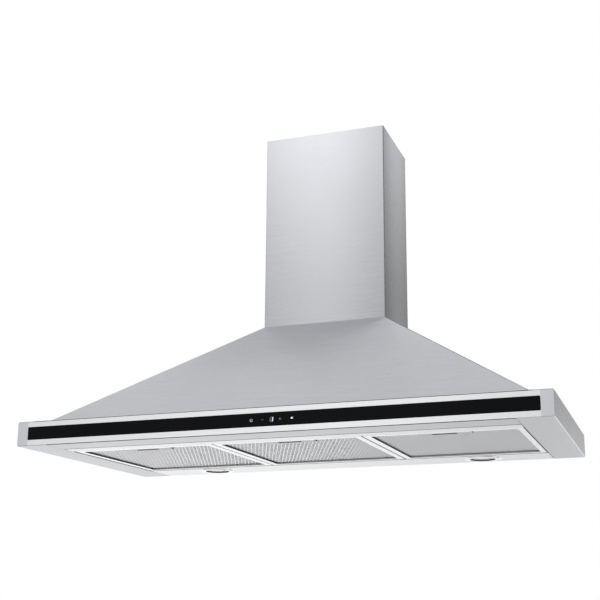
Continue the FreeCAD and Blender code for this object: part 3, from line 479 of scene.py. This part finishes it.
def lathe(bm, centre, profile, steps=72):
    """A closed ring or disc turned about a vertical axis; profile is a closed loop of (radius, z)."""
    rings = []
    for radius, z in profile:
        rings.append([
            bm.verts.new((
                centre[0] + radius * math.cos(2 * math.pi * number / steps),
                centre[1] + radius * math.sin(2 * math.pi * number / steps),
                z,
            ))
            for number in range(steps)
        ])
    for number, ring in enumerate(rings):
        following = rings[(number + 1) % len(rings)]
        for step in range(steps):
            after = (step + 1) % steps
            bm.faces.new((ring[step], ring[after], following[after], following[step]))


def span(node, axis):
    """A node's extent along one axis."""
    low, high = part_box(node)
    return (low[axis], high[axis])


# ---------------------------------------------------------------- measures from the frame


SKIN = 1.0 * MM
STIFFENER = 8 * MM  # the height of the folds that stiffen the underside
width = span("front_fascia", 0)
front = span("front_fascia", 1)[0]
skirt = span("front_fascia", 2)
slope_base_x = span("front_slope", 0)[1]
slope_base_y = span("front_slope", 1)[0]
slope_top = span("front_slope", 2)[1]
stack_x = span("lower_chimney", 0)[1]
stack_y = span("lower_chimney", 1)[0]
open_x = span("right_skirt", 0)[0]
open_y = span("front_channel", 1)[1]
lip_top = span("front_rail", 2)[1]
glass_x = span("control_glass", 0)
glass_y = span("control_glass", 1)
glass_z = span("control_glass", 2)


# ---------------------------------------------------------------- canopy


def canopy_slopes():
    """The pyramid: three sheets welded along soft ridges."""
    outer = [
        (-slope_base_x, slope_base_y, skirt[1]), (slope_base_x, slope_base_y, skirt[1]),
        (-stack_x, stack_y, slope_top), (stack_x, stack_y, slope_top),
        (-slope_base_x, 0.0, skirt[1]), (slope_base_x, 0.0, skirt[1]),
        (-stack_x, 0.0, slope_top), (stack_x, 0.0, slope_top),
    ]
    bm = bmesh.new()
    wall = 1.25 * MM
    top = [bm.verts.new(point) for point in outer]
    low = [bm.verts.new((x, y, z - wall)) for x, y, z in outer]
    for level in (top, low):
        bm.faces.new((level[0], level[1], level[3], level[2]))
        bm.faces.new((level[1], level[5], level[7], level[3]))
        bm.faces.new((level[4], level[0], level[2], level[6]))
    rim = (4, 0, 1, 5, 7, 3, 2, 6)
    for number, start in enumerate(rim):
        end = rim[(number + 1) % len(rim)]
        bm.faces.new((top[start], top[end], low[end], low[start]))
    ridges = [
        edge for edge in bm.edges
        if {edge.verts[0], edge.verts[1]} in ({top[0], top[2]}, {top[1], top[3]})
    ]
    bmesh.ops.bevel(bm, geom=ridges, offset=1.6 * MM, segments=4, profile=0.5, affect="EDGES")
    piece(
        "canopy_slopes", bm, "slope", "canopy", ("front_slope", "left_slope", "right_slope"),
        [("steel_y", lambda face: abs(face.normal.x) > max(abs(face.normal.y), 0.3))],
    )


def side_skirt(name, side):
    """Ledge, wall, return flange and lip of one side, folded from one sheet."""
    outer = side * width[1]
    profile = [
        (side * slope_base_x, skirt[1]),
        (outer, skirt[1]),
        (outer, 0.0),
        (side * open_x, 0.0),
        (side * open_x, lip_top),
        (side * (open_x + SKIN), lip_top),
        (side * (open_x + SKIN), SKIN),
        (outer - side * SKIN, SKIN),
        (outer - side * SKIN, skirt[1] - SKIN),
        (side * slope_base_x, skirt[1] - SKIN),
    ]
    bm = bmesh.new()
    prism(bm, rounded(profile, 1.1 * MM), "y", front + 1.5 * MM, 0.0)

    # The lip's inner face takes the near-black steel: a painted shade line at the filters' edge.
    def inner_lip(face):
        return face.normal.x * side < -0.5 and abs(face.calc_center_median().x) < open_x + 0.6 * MM

    # Faces that look down take the darker copy of the steel: painted shade.
    piece(
        f"{name}_skirt_folded", bm, "steel_y", "canopy", (f"{name}_skirt",),
        [("shaded_under_y", lambda face: face.normal.z < -0.7), ("painted_shade_line", inner_lip)],
    )


def front_fold():
    """Front ledge, inner wall and return flange, with a groove under the fascia."""
    bm = bmesh.new()
    groove = (front + 2.6 * MM, 2.2 * MM)
    wall = front + 4.5 * MM
    lip = (front + 1.2 * MM, front + 2.2 * MM)
    lip_low = skirt[1] - 3 * SKIN
    flange = [
        (groove[0], 0.0),
        (open_y, 0.0),
        (open_y, lip_top),
        (open_y - SKIN, lip_top),
        (open_y - SKIN, SKIN),
        (wall + SKIN, SKIN),
        (wall + SKIN, skirt[1] - SKIN),
        (slope_base_y, skirt[1] - SKIN),
        (slope_base_y, skirt[1]),
        (lip[0], skirt[1]),
        (lip[0], lip_low),
        (lip[1], lip_low),
        (lip[1], skirt[1] - SKIN),
        (wall, skirt[1] - SKIN),
        (wall, groove[1]),
        groove,
    ]
    prism(bm, rounded(flange, 0.9 * MM, 3), "x", -open_x, open_x)
    for side in SIDES.values():
        near, far = sorted((side * open_x, side * slope_base_x))
        block(bm, (near, far), (lip[0], slope_base_y), (skirt[1] - SKIN, skirt[1]), 0.05 * MM)
        near, far = sorted((side * open_x, side * (width[1] - SKIN)))
        block(bm, (near, far), (wall, wall + SKIN), (SKIN, skirt[1] - SKIN), 0.05 * MM)
    piece(
        "front_channel_folded", bm, "steel_x", "canopy", ("front_channel",),
        [
            # Faces that look down take the darker copy of the steel: painted shade.
            ("shaded_under_x", lambda face: face.normal.z < -0.7 and face.calc_center_median().z < 2 * MM),
            # The groove walls under the fascia take the near-black steel: a painted shade line.
            ("painted_shade_line", lambda face: face.normal.y < -0.5 and face.calc_center_median().y < front + 3 * MM),
        ],
    )


def fascia():
    """The steel frame round the glass, its edges broken."""
    bm = bmesh.new()
    margin = 0.35 * MM
    outline = rounded(rectangle(width, (skirt[0] + 0.9 * MM, skirt[1] - 1.5 * MM)), 0.8 * MM)
    window = rounded(rectangle(glass_x, glass_z, -margin), 1.6 * MM)
    plate(bm, [outline, window], "y", front, front + SKIN, 0.45 * MM)
    # The plate is cut at the window's ends so that its ends take the darker copy: painted shade.
    window_end = glass_x[1] + margin
    for side in SIDES.values():
        whole = [*bm.verts, *bm.edges, *bm.faces]
        bmesh.ops.bisect_plane(bm, geom=whole, plane_co=(side * window_end, 0, 0), plane_no=(1, 0, 0), dist=1e-7)
    # The top edge faces take the near-black steel: a painted shade line above the fascia.
    piece(
        "fascia_frame", bm, "fascia", "canopy", ("front_fascia",),
        [
            ("fascia_end_shaded", lambda face: abs(face.calc_center_median().x) > window_end),
            ("painted_shade_line", lambda face: face.normal.z > 0.3 and face.calc_center_median().z > skirt[1] - 2.5 * MM),
        ],
    )


def glass():
    bm = bmesh.new()
    plate(bm, [rounded(rectangle(glass_x, glass_z), 1.5 * MM)], "y", glass_y[0], glass_y[1], 0.4 * MM, 3)
    piece("touch_glass", bm, "black_glass", "canopy", ("control_glass",))


# ---------------------------------------------------------------- touch symbols


SYMBOL_Z = 22.8 * MM  # the symbols' middle, above the underside
symbol_front = glass_y[0] - 0.10 * MM
symbol_back = glass_y[0] + 0.02 * MM


def symbol(name, outlines, look):
    """Flat shapes that stand a hair proud of the glass."""
    bm = bmesh.new()
    for outline in outlines:
        prism(bm, outline, "y", symbol_front, symbol_back)
    piece(name, bm, look, "canopy")


def bar(x, z, half_x, half_z, slant=0.0):
    """A small bar, slanted to the right as it rises."""
    return [
        (x + dx * half_x + slant * (z + dz * half_z - SYMBOL_Z), z + dz * half_z)
        for dx, dz in ((-1, -1), (1, -1), (1, 1), (-1, 1))
    ]


def arc_band(x, z, radius, thickness, start, end, steps=28):
    """A strip along an arc, its ends given in degrees."""
    turns = [math.radians(start + (end - start) * number / steps) for number in range(steps + 1)]
    outer, inner = (
        [(x + reach * math.cos(turn), z + reach * math.sin(turn)) for turn in turns]
        for reach in (radius + thickness / 2, radius - thickness / 2)
    )
    return outer + inner[::-1]


def power_symbol(x):
    """A ring open at its top, with a bar in the gap."""
    return [
        arc_band(x, SYMBOL_Z - 0.2 * MM, 2.1 * MM, 0.62 * MM, 125, 415),
        bar(x, SYMBOL_Z + 2.1 * MM, 0.25 * MM, 0.7 * MM),
    ]


def plus_symbol(x):
    """A bar across and a half bar above and below it."""
    arms = [bar(x, SYMBOL_Z + rise * MM, 0.45 * MM, 0.95 * MM) for rise in (1.45, -1.45)]
    return [bar(x, SYMBOL_Z, 2.4 * MM, 0.45 * MM), *arms]


def light_symbol(x):
    """A small disc with five rays above it."""
    middle = Vector((x, SYMBOL_Z))
    rays = []
    for number in range(5):
        turn = math.radians(45 * number)
        along = Vector((math.cos(turn), math.sin(turn)))
        across = Vector((-along.y, along.x)) * 0.25 * MM
        near = middle + along * 1.7 * MM
        far = middle + along * 2.5 * MM
        rays.append([near - across, far - across, far + across, near + across])
    return [arc_band(x, SYMBOL_Z, 0.55 * MM, 1.08 * MM, 0, 359, 24), *rays]


def digit_bars(x, lit):
    """The lit or the unlit bars of a seven-bar digit that shows 1."""
    slant = 0.14
    half_x = 2.4 * MM
    half_z = 3.8 * MM
    upright = half_z / 2 - 0.25 * MM
    level = half_x - 0.9 * MM
    if lit:
        bars = [(half_x, rise, 0.75 * MM, upright) for rise in (-half_z / 2, half_z / 2)]
    else:
        bars = [(-half_x, rise, 0.6 * MM, upright) for rise in (-half_z / 2, half_z / 2)]
        bars += [(0.0, rise, level, 0.5 * MM) for rise in (half_z, 0.0, -half_z)]
    return [bar(x + dx, SYMBOL_Z + dz, wide, tall, slant) for dx, dz, wide, tall in bars]


def touch_symbols():
    power_x, minus_x, digit_x, plus_x, light_x = (value * MM for value in (-26, -5, 12, 28, 50))
    symbol("symbol_power", power_symbol(power_x), "symbol_white")
    symbol("symbol_minus", [bar(minus_x, SYMBOL_Z, 2.4 * MM, 0.4 * MM)], "symbol_faint")
    symbol("symbol_plus", plus_symbol(plus_x), "symbol_dim")
    symbol("symbol_light", light_symbol(light_x), "symbol_bright")
    symbol("digit_lit", digit_bars(digit_x, True), "symbol_blue")
    # The unlit bars glow faintly: a painted glow for the light they catch behind the glass.
    symbol("digit_ghost", digit_bars(digit_x, False), "symbol_dim")


# ---------------------------------------------------------------- underside


def underside_rail():
    """The bright strip in front of the filters."""
    low = span("front_rail", 1)[0] + 1.4 * MM
    high = span("front_rail", 1)[1]
    half = span("front_rail", 0)[1]
    profile = [
        (low, 0.0), (high, 0.0), (high, STIFFENER), (high - SKIN, STIFFENER), (high - SKIN, SKIN),
        (low + SKIN, SKIN), (low + SKIN, lip_top), (low, lip_top),
    ]
    bm = bmesh.new()
    prism(bm, rounded(profile, 2.2 * MM, 6), "x", -half, half)
    # The rail's rounded front bend takes the near-black steel: a painted shade line.
    piece(
        "front_rail_folded", bm, "liner", "canopy", ("front_rail",),
        [("painted_shade_line", lambda face: face.normal.y < -0.25)],
    )


def underside_lamp_panel():
    """The panel behind the filters with its two lamp holes."""
    x = span("lamp_panel", 0)
    y = span("lamp_panel", 1)
    lamp_x = span("lamp_lens_right", 0)[1] - 25 * MM
    lamp_y = sum(span("lamp_lens_left", 1)) / 2
    holes = [circle(side * lamp_x, lamp_y, 31.0 * MM, 48) for side in SIDES.values()]
    bm = bmesh.new()
    plate(bm, [rounded(rectangle(x, y), 0.8 * MM), *holes], "z", 0.0, SKIN, 0.3 * MM)
    for edge in (y[0], y[1] - 2 * SKIN):
        block(bm, x, (edge, edge + SKIN), (SKIN * 0.6, STIFFENER), 0.2 * MM)
    piece("lamp_panel_folded", bm, "liner", "canopy", ("lamp_panel",))


def lamp_trim(name, centre, rim, lens, bottom):
    """A trim ring with a rolled rim."""
    top = -0.05 * MM
    flange = 5.8 * MM
    bm = bmesh.new()
    lathe(bm, centre, [
        (rim, top),
        (rim - 0.2 * MM, bottom + 0.7 * MM),
        (rim - 1.0 * MM, bottom + 0.15 * MM),
        (rim - 2.5 * MM, bottom),
        (lens + 4.2 * MM, bottom + 0.1 * MM),
        (lens + 2.2 * MM, bottom + 0.2 * MM),
        (lens + 1.0 * MM, bottom + 0.5 * MM),
        (lens + 0.5 * MM, bottom + 2.0 * MM),
        (lens + 0.4 * MM, flange),
        (lens + 5.2 * MM, flange),
        (lens + 5.2 * MM, top),
    ])

    # The bore faces take the near-black steel: painted shade inside the trim.
    def bore(face):
        middle = face.calc_center_median()
        return math.hypot(middle.x - centre[0], middle.y - centre[1]) < lens + 1.4 * MM

    piece(
        f"lamp_trim_{name}", bm, "lamp_chrome", "canopy", (f"lamp_bezel_{name}",),
        [("painted_shade_line", bore)],
    )


def lamp_diffuser(name, centre, lens):
    """A slightly domed lens with a small step at its edge."""
    face = span(f"lamp_lens_{name}", 2)[0]
    middle = 0.02 * MM
    back = face + 3.0 * MM
    steps = 10
    dome = [(lens * 0.9 * number / steps, face + 0.5 * MM * (number / steps) ** 3) for number in range(1, steps + 1)]
    edge = [(lens * 0.94, face + 0.2 * MM), (lens - 0.1 * MM, face + 0.4 * MM), (lens - 0.1 * MM, back)]
    bm = bmesh.new()
    lathe(bm, centre, [(middle, face), *dome, *edge, (middle, back)])
    piece(f"lamp_diffuser_{name}", bm, "lamp_glass", "canopy", (f"lamp_lens_{name}",))


def lamp(name):
    low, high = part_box(f"lamp_bezel_{name}")
    centre = ((low.x + high.x) / 2, (low.y + high.y) / 2)
    lens_x = span(f"lamp_lens_{name}", 0)
    lens = (lens_x[1] - lens_x[0]) / 2
    lamp_trim(name, centre, (high.x - low.x) / 2, lens, low.z)
    lamp_diffuser(name, centre, lens)


# ---------------------------------------------------------------- grease filters


CELL_LENGTH = 18.0 * MM
CELL_WIDTH = 7.6 * MM
STRAND = 1.5 * MM
BORDER = 13.0 * MM  # the width of a filter's rim
CURL = 1.0 * MM  # how far its rolled edge stands in from the CAD box
SIDE_CURL = 2.4 * MM  # the same beside the canopy's skirts
RIM_TOP = 3.2 * MM


def expanded_sheet(bm, x, y, z):
    """Expanded metal: zigzag strands from front to rear, each touching the next at every other bend."""
    thick = 0.2 * MM
    tilt = 0.15 * MM
    rows = int((x[1] - x[0]) / (CELL_WIDTH / 2))
    steps = int((y[1] - y[0]) / (CELL_LENGTH / 2))
    section = ((-STRAND / 2, 0.0), (STRAND / 2, tilt), (STRAND / 2, tilt + thick), (-STRAND / 2, thick))
    for row in range(rows):
        middle = x[0] + (row + 0.5) * (x[1] - x[0]) / rows
        before = None
        for step in range(steps + 1):
            along = y[0] + (y[1] - y[0]) * step / steps
            swing = CELL_WIDTH / 4 if (row + step) % 2 else -CELL_WIDTH / 4
            ring = [bm.verts.new((middle + swing + dx, along, z + dz)) for dx, dz in section]
            if before:
                for side in range(4):
                    after = (side + 1) % 4
                    bm.faces.new((before[side], before[after], ring[after], ring[side]))
            else:
                bm.faces.new(ring)
            before = ring
        bm.faces.new(before)


def crumpled_foil(bm, x, y, z, rng):
    """A doubled sheet of foil with small random dents."""
    steps_x, steps_y = 66, 72
    grid = [
        [
            bm.verts.new((
                x[0] + (x[1] - x[0]) * i / steps_x,
                y[0] + (y[1] - y[0]) * j / steps_y,
                z + rng.uniform(0, 0.35) * MM,
            ))
            for i in range(steps_x + 1)
        ]
        for j in range(steps_y + 1)
    ]
    for j in range(steps_y):
        for i in range(steps_x):
            bm.faces.new((grid[j][i], grid[j][i + 1], grid[j + 1][i + 1], grid[j + 1][i]))
    bmesh.ops.solidify(bm, geom=list(bm.faces), thickness=0.3 * MM)


def filter_rim(name, body, x, y, low):
    """The rolled lower rim, set in further beside the canopy's skirts."""
    left = SIDE_CURL if name == "left" else CURL
    right = SIDE_CURL if name == "right" else CURL
    outer = rounded(rectangle((x[0] + left, x[1] - right), (y[0] + CURL, y[1] - 4 * CURL)), 3.0 * MM, 6)
    inner = rounded(rectangle(x, y, BORDER), 1.5 * MM, 6)
    bm = bmesh.new()
    plate(bm, [outer, inner], "z", low, RIM_TOP, 0.7 * MM, 3)
    reach = BORDER * 0.8

    # The walls round the mesh window take the darker copies: painted shade in the recess.
    def inner_wall(face):
        middle = face.calc_center_median()
        within = x[0] + reach < middle.x < x[1] - reach and y[0] + reach < middle.y < y[1] - reach
        return within and abs(face.normal.z) < 0.5

    piece(
        f"filter_rim_{name}", bm, "frame_aluminium", body, (f"filter_frame_{name}",),
        [("frame_recess_shade", inner_wall), ("recess_rear_shade", lambda face: inner_wall(face) and face.normal.y < -0.5)],
    )


def filter_channel(name, body, x, y, low, high):
    """The channel above the rim, with the two tabs that hook it in at the rear."""
    outer = rounded(rectangle(x, y, 0.3 * MM), 2.8 * MM)
    inner = rounded(rectangle(x, y, BORDER * 0.6), 1.5 * MM)
    bm = bmesh.new()
    plate(bm, [outer, inner], "z", low, high.z, 0.5 * MM)
    for offset in (-90 * MM, 90 * MM):
        tab = (x[0] + x[1]) / 2 + offset
        block(bm, (tab - 10 * MM, tab + 10 * MM), (y[1] - 2 * MM, high.y), (8.3 * MM, 9.5 * MM), 0.3 * MM)
    # Its downward faces take the near-black copy: painted shade above the rim.
    piece(
        f"filter_channel_{name}", bm, "frame_aluminium", body, (),
        [("frame_recess_shade", lambda face: face.normal.z < -0.5)],
    )


def grease_filter(name):
    """A frame round an expanded sheet, with crumpled foil close behind it."""
    body = f"filter_{name}"
    low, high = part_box(f"filter_frame_{name}")
    x = (low.x, high.x)
    y = (low.y, high.y - 5 * MM)
    filter_rim(name, body, x, y, low.z)
    filter_channel(name, body, x, y, RIM_TOP, high)
    tuck = BORDER - 1.5 * MM
    pack_x = (x[0] + tuck, x[1] - tuck)
    pack_y = (y[0] + tuck, y[1] - tuck)
    margin = CELL_WIDTH / 4 + STRAND / 2
    bm = bmesh.new()
    expanded_sheet(bm, (pack_x[0] + margin, pack_x[1] - margin), pack_y, 3.8 * MM)
    piece(f"filter_outer_mesh_{name}", bm, "mesh_aluminium", body, (f"filter_mesh_{name}",))
    bm = bmesh.new()
    crumpled_foil(bm, pack_x, pack_y, 4.2 * MM, random.Random(7 + FILTERS.index(name)))
    piece(f"filter_foil_{name}", bm, "foil", body)


def latch_pull(name, low, high, middle):
    """The recessed pull: a plate with a finger slot, its walls and its lid."""
    x = (low.x, high.x)
    y = (low.y, high.y)
    rim = rounded(rectangle(x, y), 2.5 * MM, 5)
    slot_x = (middle - 23 * MM, middle + 23 * MM)
    slot = rounded(rectangle(slot_x, (y[1] - 16.6 * MM, y[1] - 6.4 * MM)), 2.0 * MM, 5)
    bm = bmesh.new()
    plate(bm, [rim, slot], "z", low.z, low.z + 2.0 * MM, 0.5 * MM)
    wall = 1.0 * MM
    top = (low.z + 1.8 * MM, high.z)
    between_x = (x[0] + wall, x[1] - wall)
    block(bm, (x[0], x[0] + wall), y, top, 0.1 * MM)
    block(bm, (x[1] - wall, x[1]), y, top, 0.1 * MM)
    block(bm, between_x, (y[1] - wall, y[1]), top, 0.1 * MM)
    block(bm, between_x, (y[0] + wall, y[1] - wall), (high.z - wall, high.z), 0.1 * MM)
    # Faces up inside the pocket take the near-black plastic: painted shade in the finger slot.
    pocket = low.z + 0.9 * MM
    piece(
        f"latch_pull_{name}", bm, "latch", f"filter_{name}", (f"latch_bezel_{name}",),
        [("latch_shade_dark", lambda face: face.calc_center_median().z > pocket)],
    )


def latch_tab(name, low, high, middle):
    """The sliding tab: its tongue, its carrier, its wall and the finger lip."""
    wall_y = (high.y - 2 * MM, high.y)
    top = (high.z - 2 * MM, high.z)
    bm = bmesh.new()
    block(bm, (middle - 12 * MM, middle + 12 * MM), (low.y, high.y - 8 * MM), top, 0.4 * MM)
    block(bm, (low.x, high.x), (high.y - 9.8 * MM, high.y), top, 0.3 * MM)
    block(bm, (low.x, high.x), wall_y, (4 * MM, high.z - 0.5 * MM), 0.3 * MM)
    block(bm, (middle - 20 * MM, middle + 20 * MM), wall_y, (low.z, 5 * MM), 0.5 * MM)
    # The tab takes the near-black plastic: painted shade in the finger slot.
    piece(f"latch_tab_{name}", bm, "latch_shade_dark", f"latch_{name}", (f"latch_slider_{name}",))


def filter_latch(name):
    low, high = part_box(f"latch_bezel_{name}")
    middle = (low.x + high.x) / 2
    latch_pull(name, low, high, middle)
    latch_tab(name, *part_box(f"latch_slider_{name}"), middle)


# ---------------------------------------------------------------- chimney


def stack(name, node, body, back_return):
    """One chimney sheet with soft vertical bends and rear returns."""
    low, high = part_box(node)
    outline = [
        (low.x, low.y), (high.x, low.y), (high.x, high.y), (high.x - back_return, high.y),
        (high.x - back_return, high.y - SKIN), (high.x - SKIN, high.y - SKIN), (high.x - SKIN, low.y + SKIN),
        (low.x + SKIN, low.y + SKIN), (low.x + SKIN, high.y - SKIN), (low.x + back_return, high.y - SKIN),
        (low.x + back_return, high.y), (low.x, high.y),
    ]
    bm = bmesh.new()
    prism(bm, rounded(outline, 1.6 * MM, 5), "z", low.z, high.z)
    # Its side faces take the darker copy: painted shade.
    piece(
        name, bm, "stack", body, (node,), [("stack_side", lambda face: abs(face.normal.x) > 0.7)]
    )


canopy_slopes()
for side_name, side_sign in SIDES.items():
    side_skirt(side_name, side_sign)
    lamp(side_name)
front_fold()
fascia()
glass()
touch_symbols()
underside_rail()
underside_lamp_panel()
for filter_name in FILTERS:
    grease_filter(filter_name)
    filter_latch(filter_name)
stack("chimney_outer", "lower_chimney", "canopy", 20 * MM)
stack("chimney_inner", "upper_chimney", "upper_stack", 18 * MM)


# ---------------------------------------------------------------- stage, light and camera


FLOOR_Z = -2.0
FLOOR_RADIUS = 3.8

# The room that the steel mirrors, as (direction component, brightness) stops. In front of the hood and behind it,
# the brightness is a ramp over the height times a ramp over the direction across.
FRONT_BY_HEIGHT = (
    (-1.0, 0.80), (-0.1, 0.85), (0.17, 0.90), (0.26, 0.78), (0.35, 1.08), (0.46, 1.70), (0.62, 1.30), (0.88, 0.82),
)
FRONT_ACROSS = (
    (-0.9, 0.50), (-0.6, 0.78), (-0.42, 1.02), (-0.28, 1.12), (-0.17, 1.00),
    (-0.10, 0.76), (0.4, 0.42), (0.66, 0.12), (0.88, 0.20), (0.97, 0.80),
)
REAR_BY_HEIGHT = (
    (-1.0, 0.90), (-0.25, 1.02), (-0.05, 1.00), (0.10, 0.60), (0.18, 0.36), (0.27, 0.25), (0.44, 0.56), (0.85, 0.76),
)
REAR_ACROSS = (
    (-0.8, 1.15), (-0.50, 1.10), (-0.30, 1.00), (-0.12, 0.80), (0.10, 1.40),
    (0.36, 1.85), (0.70, 0.15), (0.88, 0.20), (0.97, 1.30),
)
# The photograph's camera, fitted to the hood's corners.
CAMERA_AT = (0.694, -2.203, -0.300)
CAMERA_TURN = {"yaw": 17.53, "pitch": 13.71, "roll": -0.22}
CAMERA_LENS_MM = 63.9
CAMERA_SHIFT = 0.0833


def studio_floor():
    tree = Tree("studio_floor_look")
    tone = tree.tones(tree.spread(tree.noise(3.0, 3.0), 0.0, 1.0), grey(0.80), grey(0.84))
    material = tree.surface(Base_Color=tone, Roughness=0.7)
    mesh = bpy.data.meshes.new("studio_floor")
    rim = [(x, y, FLOOR_Z) for x, y in circle(0.0, -0.4, FLOOR_RADIUS, 96)]
    mesh.from_pydata(rim, [], [range(len(rim))])
    mesh.materials.append(material)
    floor = bpy.data.objects.new("studio_floor", mesh)
    bpy.context.scene.collection.objects.link(floor)


def room_ramp(tree, component, stops):
    """A smooth grey ramp over a direction component from -1 to 1; it holds half of each stop's brightness."""
    item = tree.add("ShaderNodeValToRGB", inputs={"Fac": tree.spread(component, 0.0, 1.0, -1.0, 1.0)})
    elements = item.color_ramp.elements
    while len(elements) < len(stops):
        elements.new(0.5)
    for number, (at, value) in enumerate(stops):
        elements[number].position = (at + 1) / 2
        elements[number].color = (value / 2, value / 2, value / 2, 1)
    return item.outputs["Color"]


def room_blend(tree, kind, factor, first, second):
    settings = {"data_type": "RGBA", "blend_type": kind}
    return tree.add("ShaderNodeMix", settings, {"Factor": factor, 6: first, 7: second}).outputs[2]


def studio_world():
    """A pale room: white where the camera sees it, and softly graded where the steel mirrors it."""
    tree = Tree("studio", "worlds")
    bpy.context.scene.world = tree.owner
    coordinates = tree.add("ShaderNodeTexCoord").outputs["Generated"]
    direction = tree.add("ShaderNodeSeparateXYZ", inputs={0: coordinates}).outputs
    front_half, rear_half = (
        room_blend(
            tree, "MULTIPLY", 1.0,
            room_ramp(tree, direction["Z"], by_height), room_ramp(tree, direction["X"], across),
        )
        for by_height, across in ((FRONT_BY_HEIGHT, FRONT_ACROSS), (REAR_BY_HEIGHT, REAR_ACROSS))
    )
    side = tree.add(
        "ShaderNodeMapRange", {"interpolation_type": "SMOOTHSTEP"},
        {"Value": direction["Y"], "From Min": -0.35, "From Max": 0.25},
    ).outputs["Result"]
    room = room_blend(tree, "MIX", side, front_half, rear_half)
    # Each ramp holds half its brightness, so the product is a quarter of it.
    graded = tree.add("ShaderNodeBackground", inputs={"Color": room, "Strength": 4.0}).outputs[0]
    white = tree.add("ShaderNodeBackground", inputs={"Color": (1, 1, 1, 1), "Strength": 1.0}).outputs[0]
    seen = tree.add("ShaderNodeLightPath").outputs["Is Camera Ray"]
    mixed = tree.add("ShaderNodeMixShader", inputs={"Fac": seen, 1: graded, 2: white}).outputs[0]
    tree.add("ShaderNodeOutputWorld", inputs={"Surface": mixed})


def soft_light(name, place_at, aim, size, power):
    light = bpy.data.lights.new(name, "AREA")
    light.shape = "RECTANGLE"
    light.size, light.size_y = size
    light.energy = power
    item = bpy.data.objects.new(name, light)
    item.location = place_at
    item.rotation_euler = (Vector(aim) - Vector(place_at)).to_track_quat("-Z", "Y").to_euler()
    item.visible_camera = False
    item.visible_glossy = False
    bpy.context.scene.collection.objects.link(item)


def camera():
    """Below the hood and to its right, looking up and to the rear left."""
    lens = bpy.data.cameras.new("view")
    lens.sensor_width = 36.0
    lens.lens = CAMERA_LENS_MM
    lens.shift_x = -CAMERA_SHIFT
    lens.shift_y = CAMERA_SHIFT
    lens.clip_start = 0.01
    item = bpy.data.objects.new("view", lens)
    yaw, pitch, roll = (math.radians(CAMERA_TURN[turn]) for turn in ("yaw", "pitch", "roll"))
    item.location = CAMERA_AT
    forward = Vector((-math.sin(yaw) * math.cos(pitch), math.cos(yaw) * math.cos(pitch), math.sin(pitch)))
    item.rotation_euler = forward.to_track_quat("-Z", "Y").to_euler()
    item.rotation_euler.rotate_axis("Z", roll)
    bpy.context.scene.collection.objects.link(item)
    bpy.context.scene.camera = item


studio_floor()
studio_world()
soft_light("key", (-1.2, -3.0, 2.4), (0, -0.2, 0.4), (1.6, 1.2), 30)
soft_light("overhead", (0.40, 0.40, 2.9), (0.0, -0.25, 0.1), (0.9, 0.7), 90)
camera()
bpy.context.scene.view_settings.view_transform = "Standard"
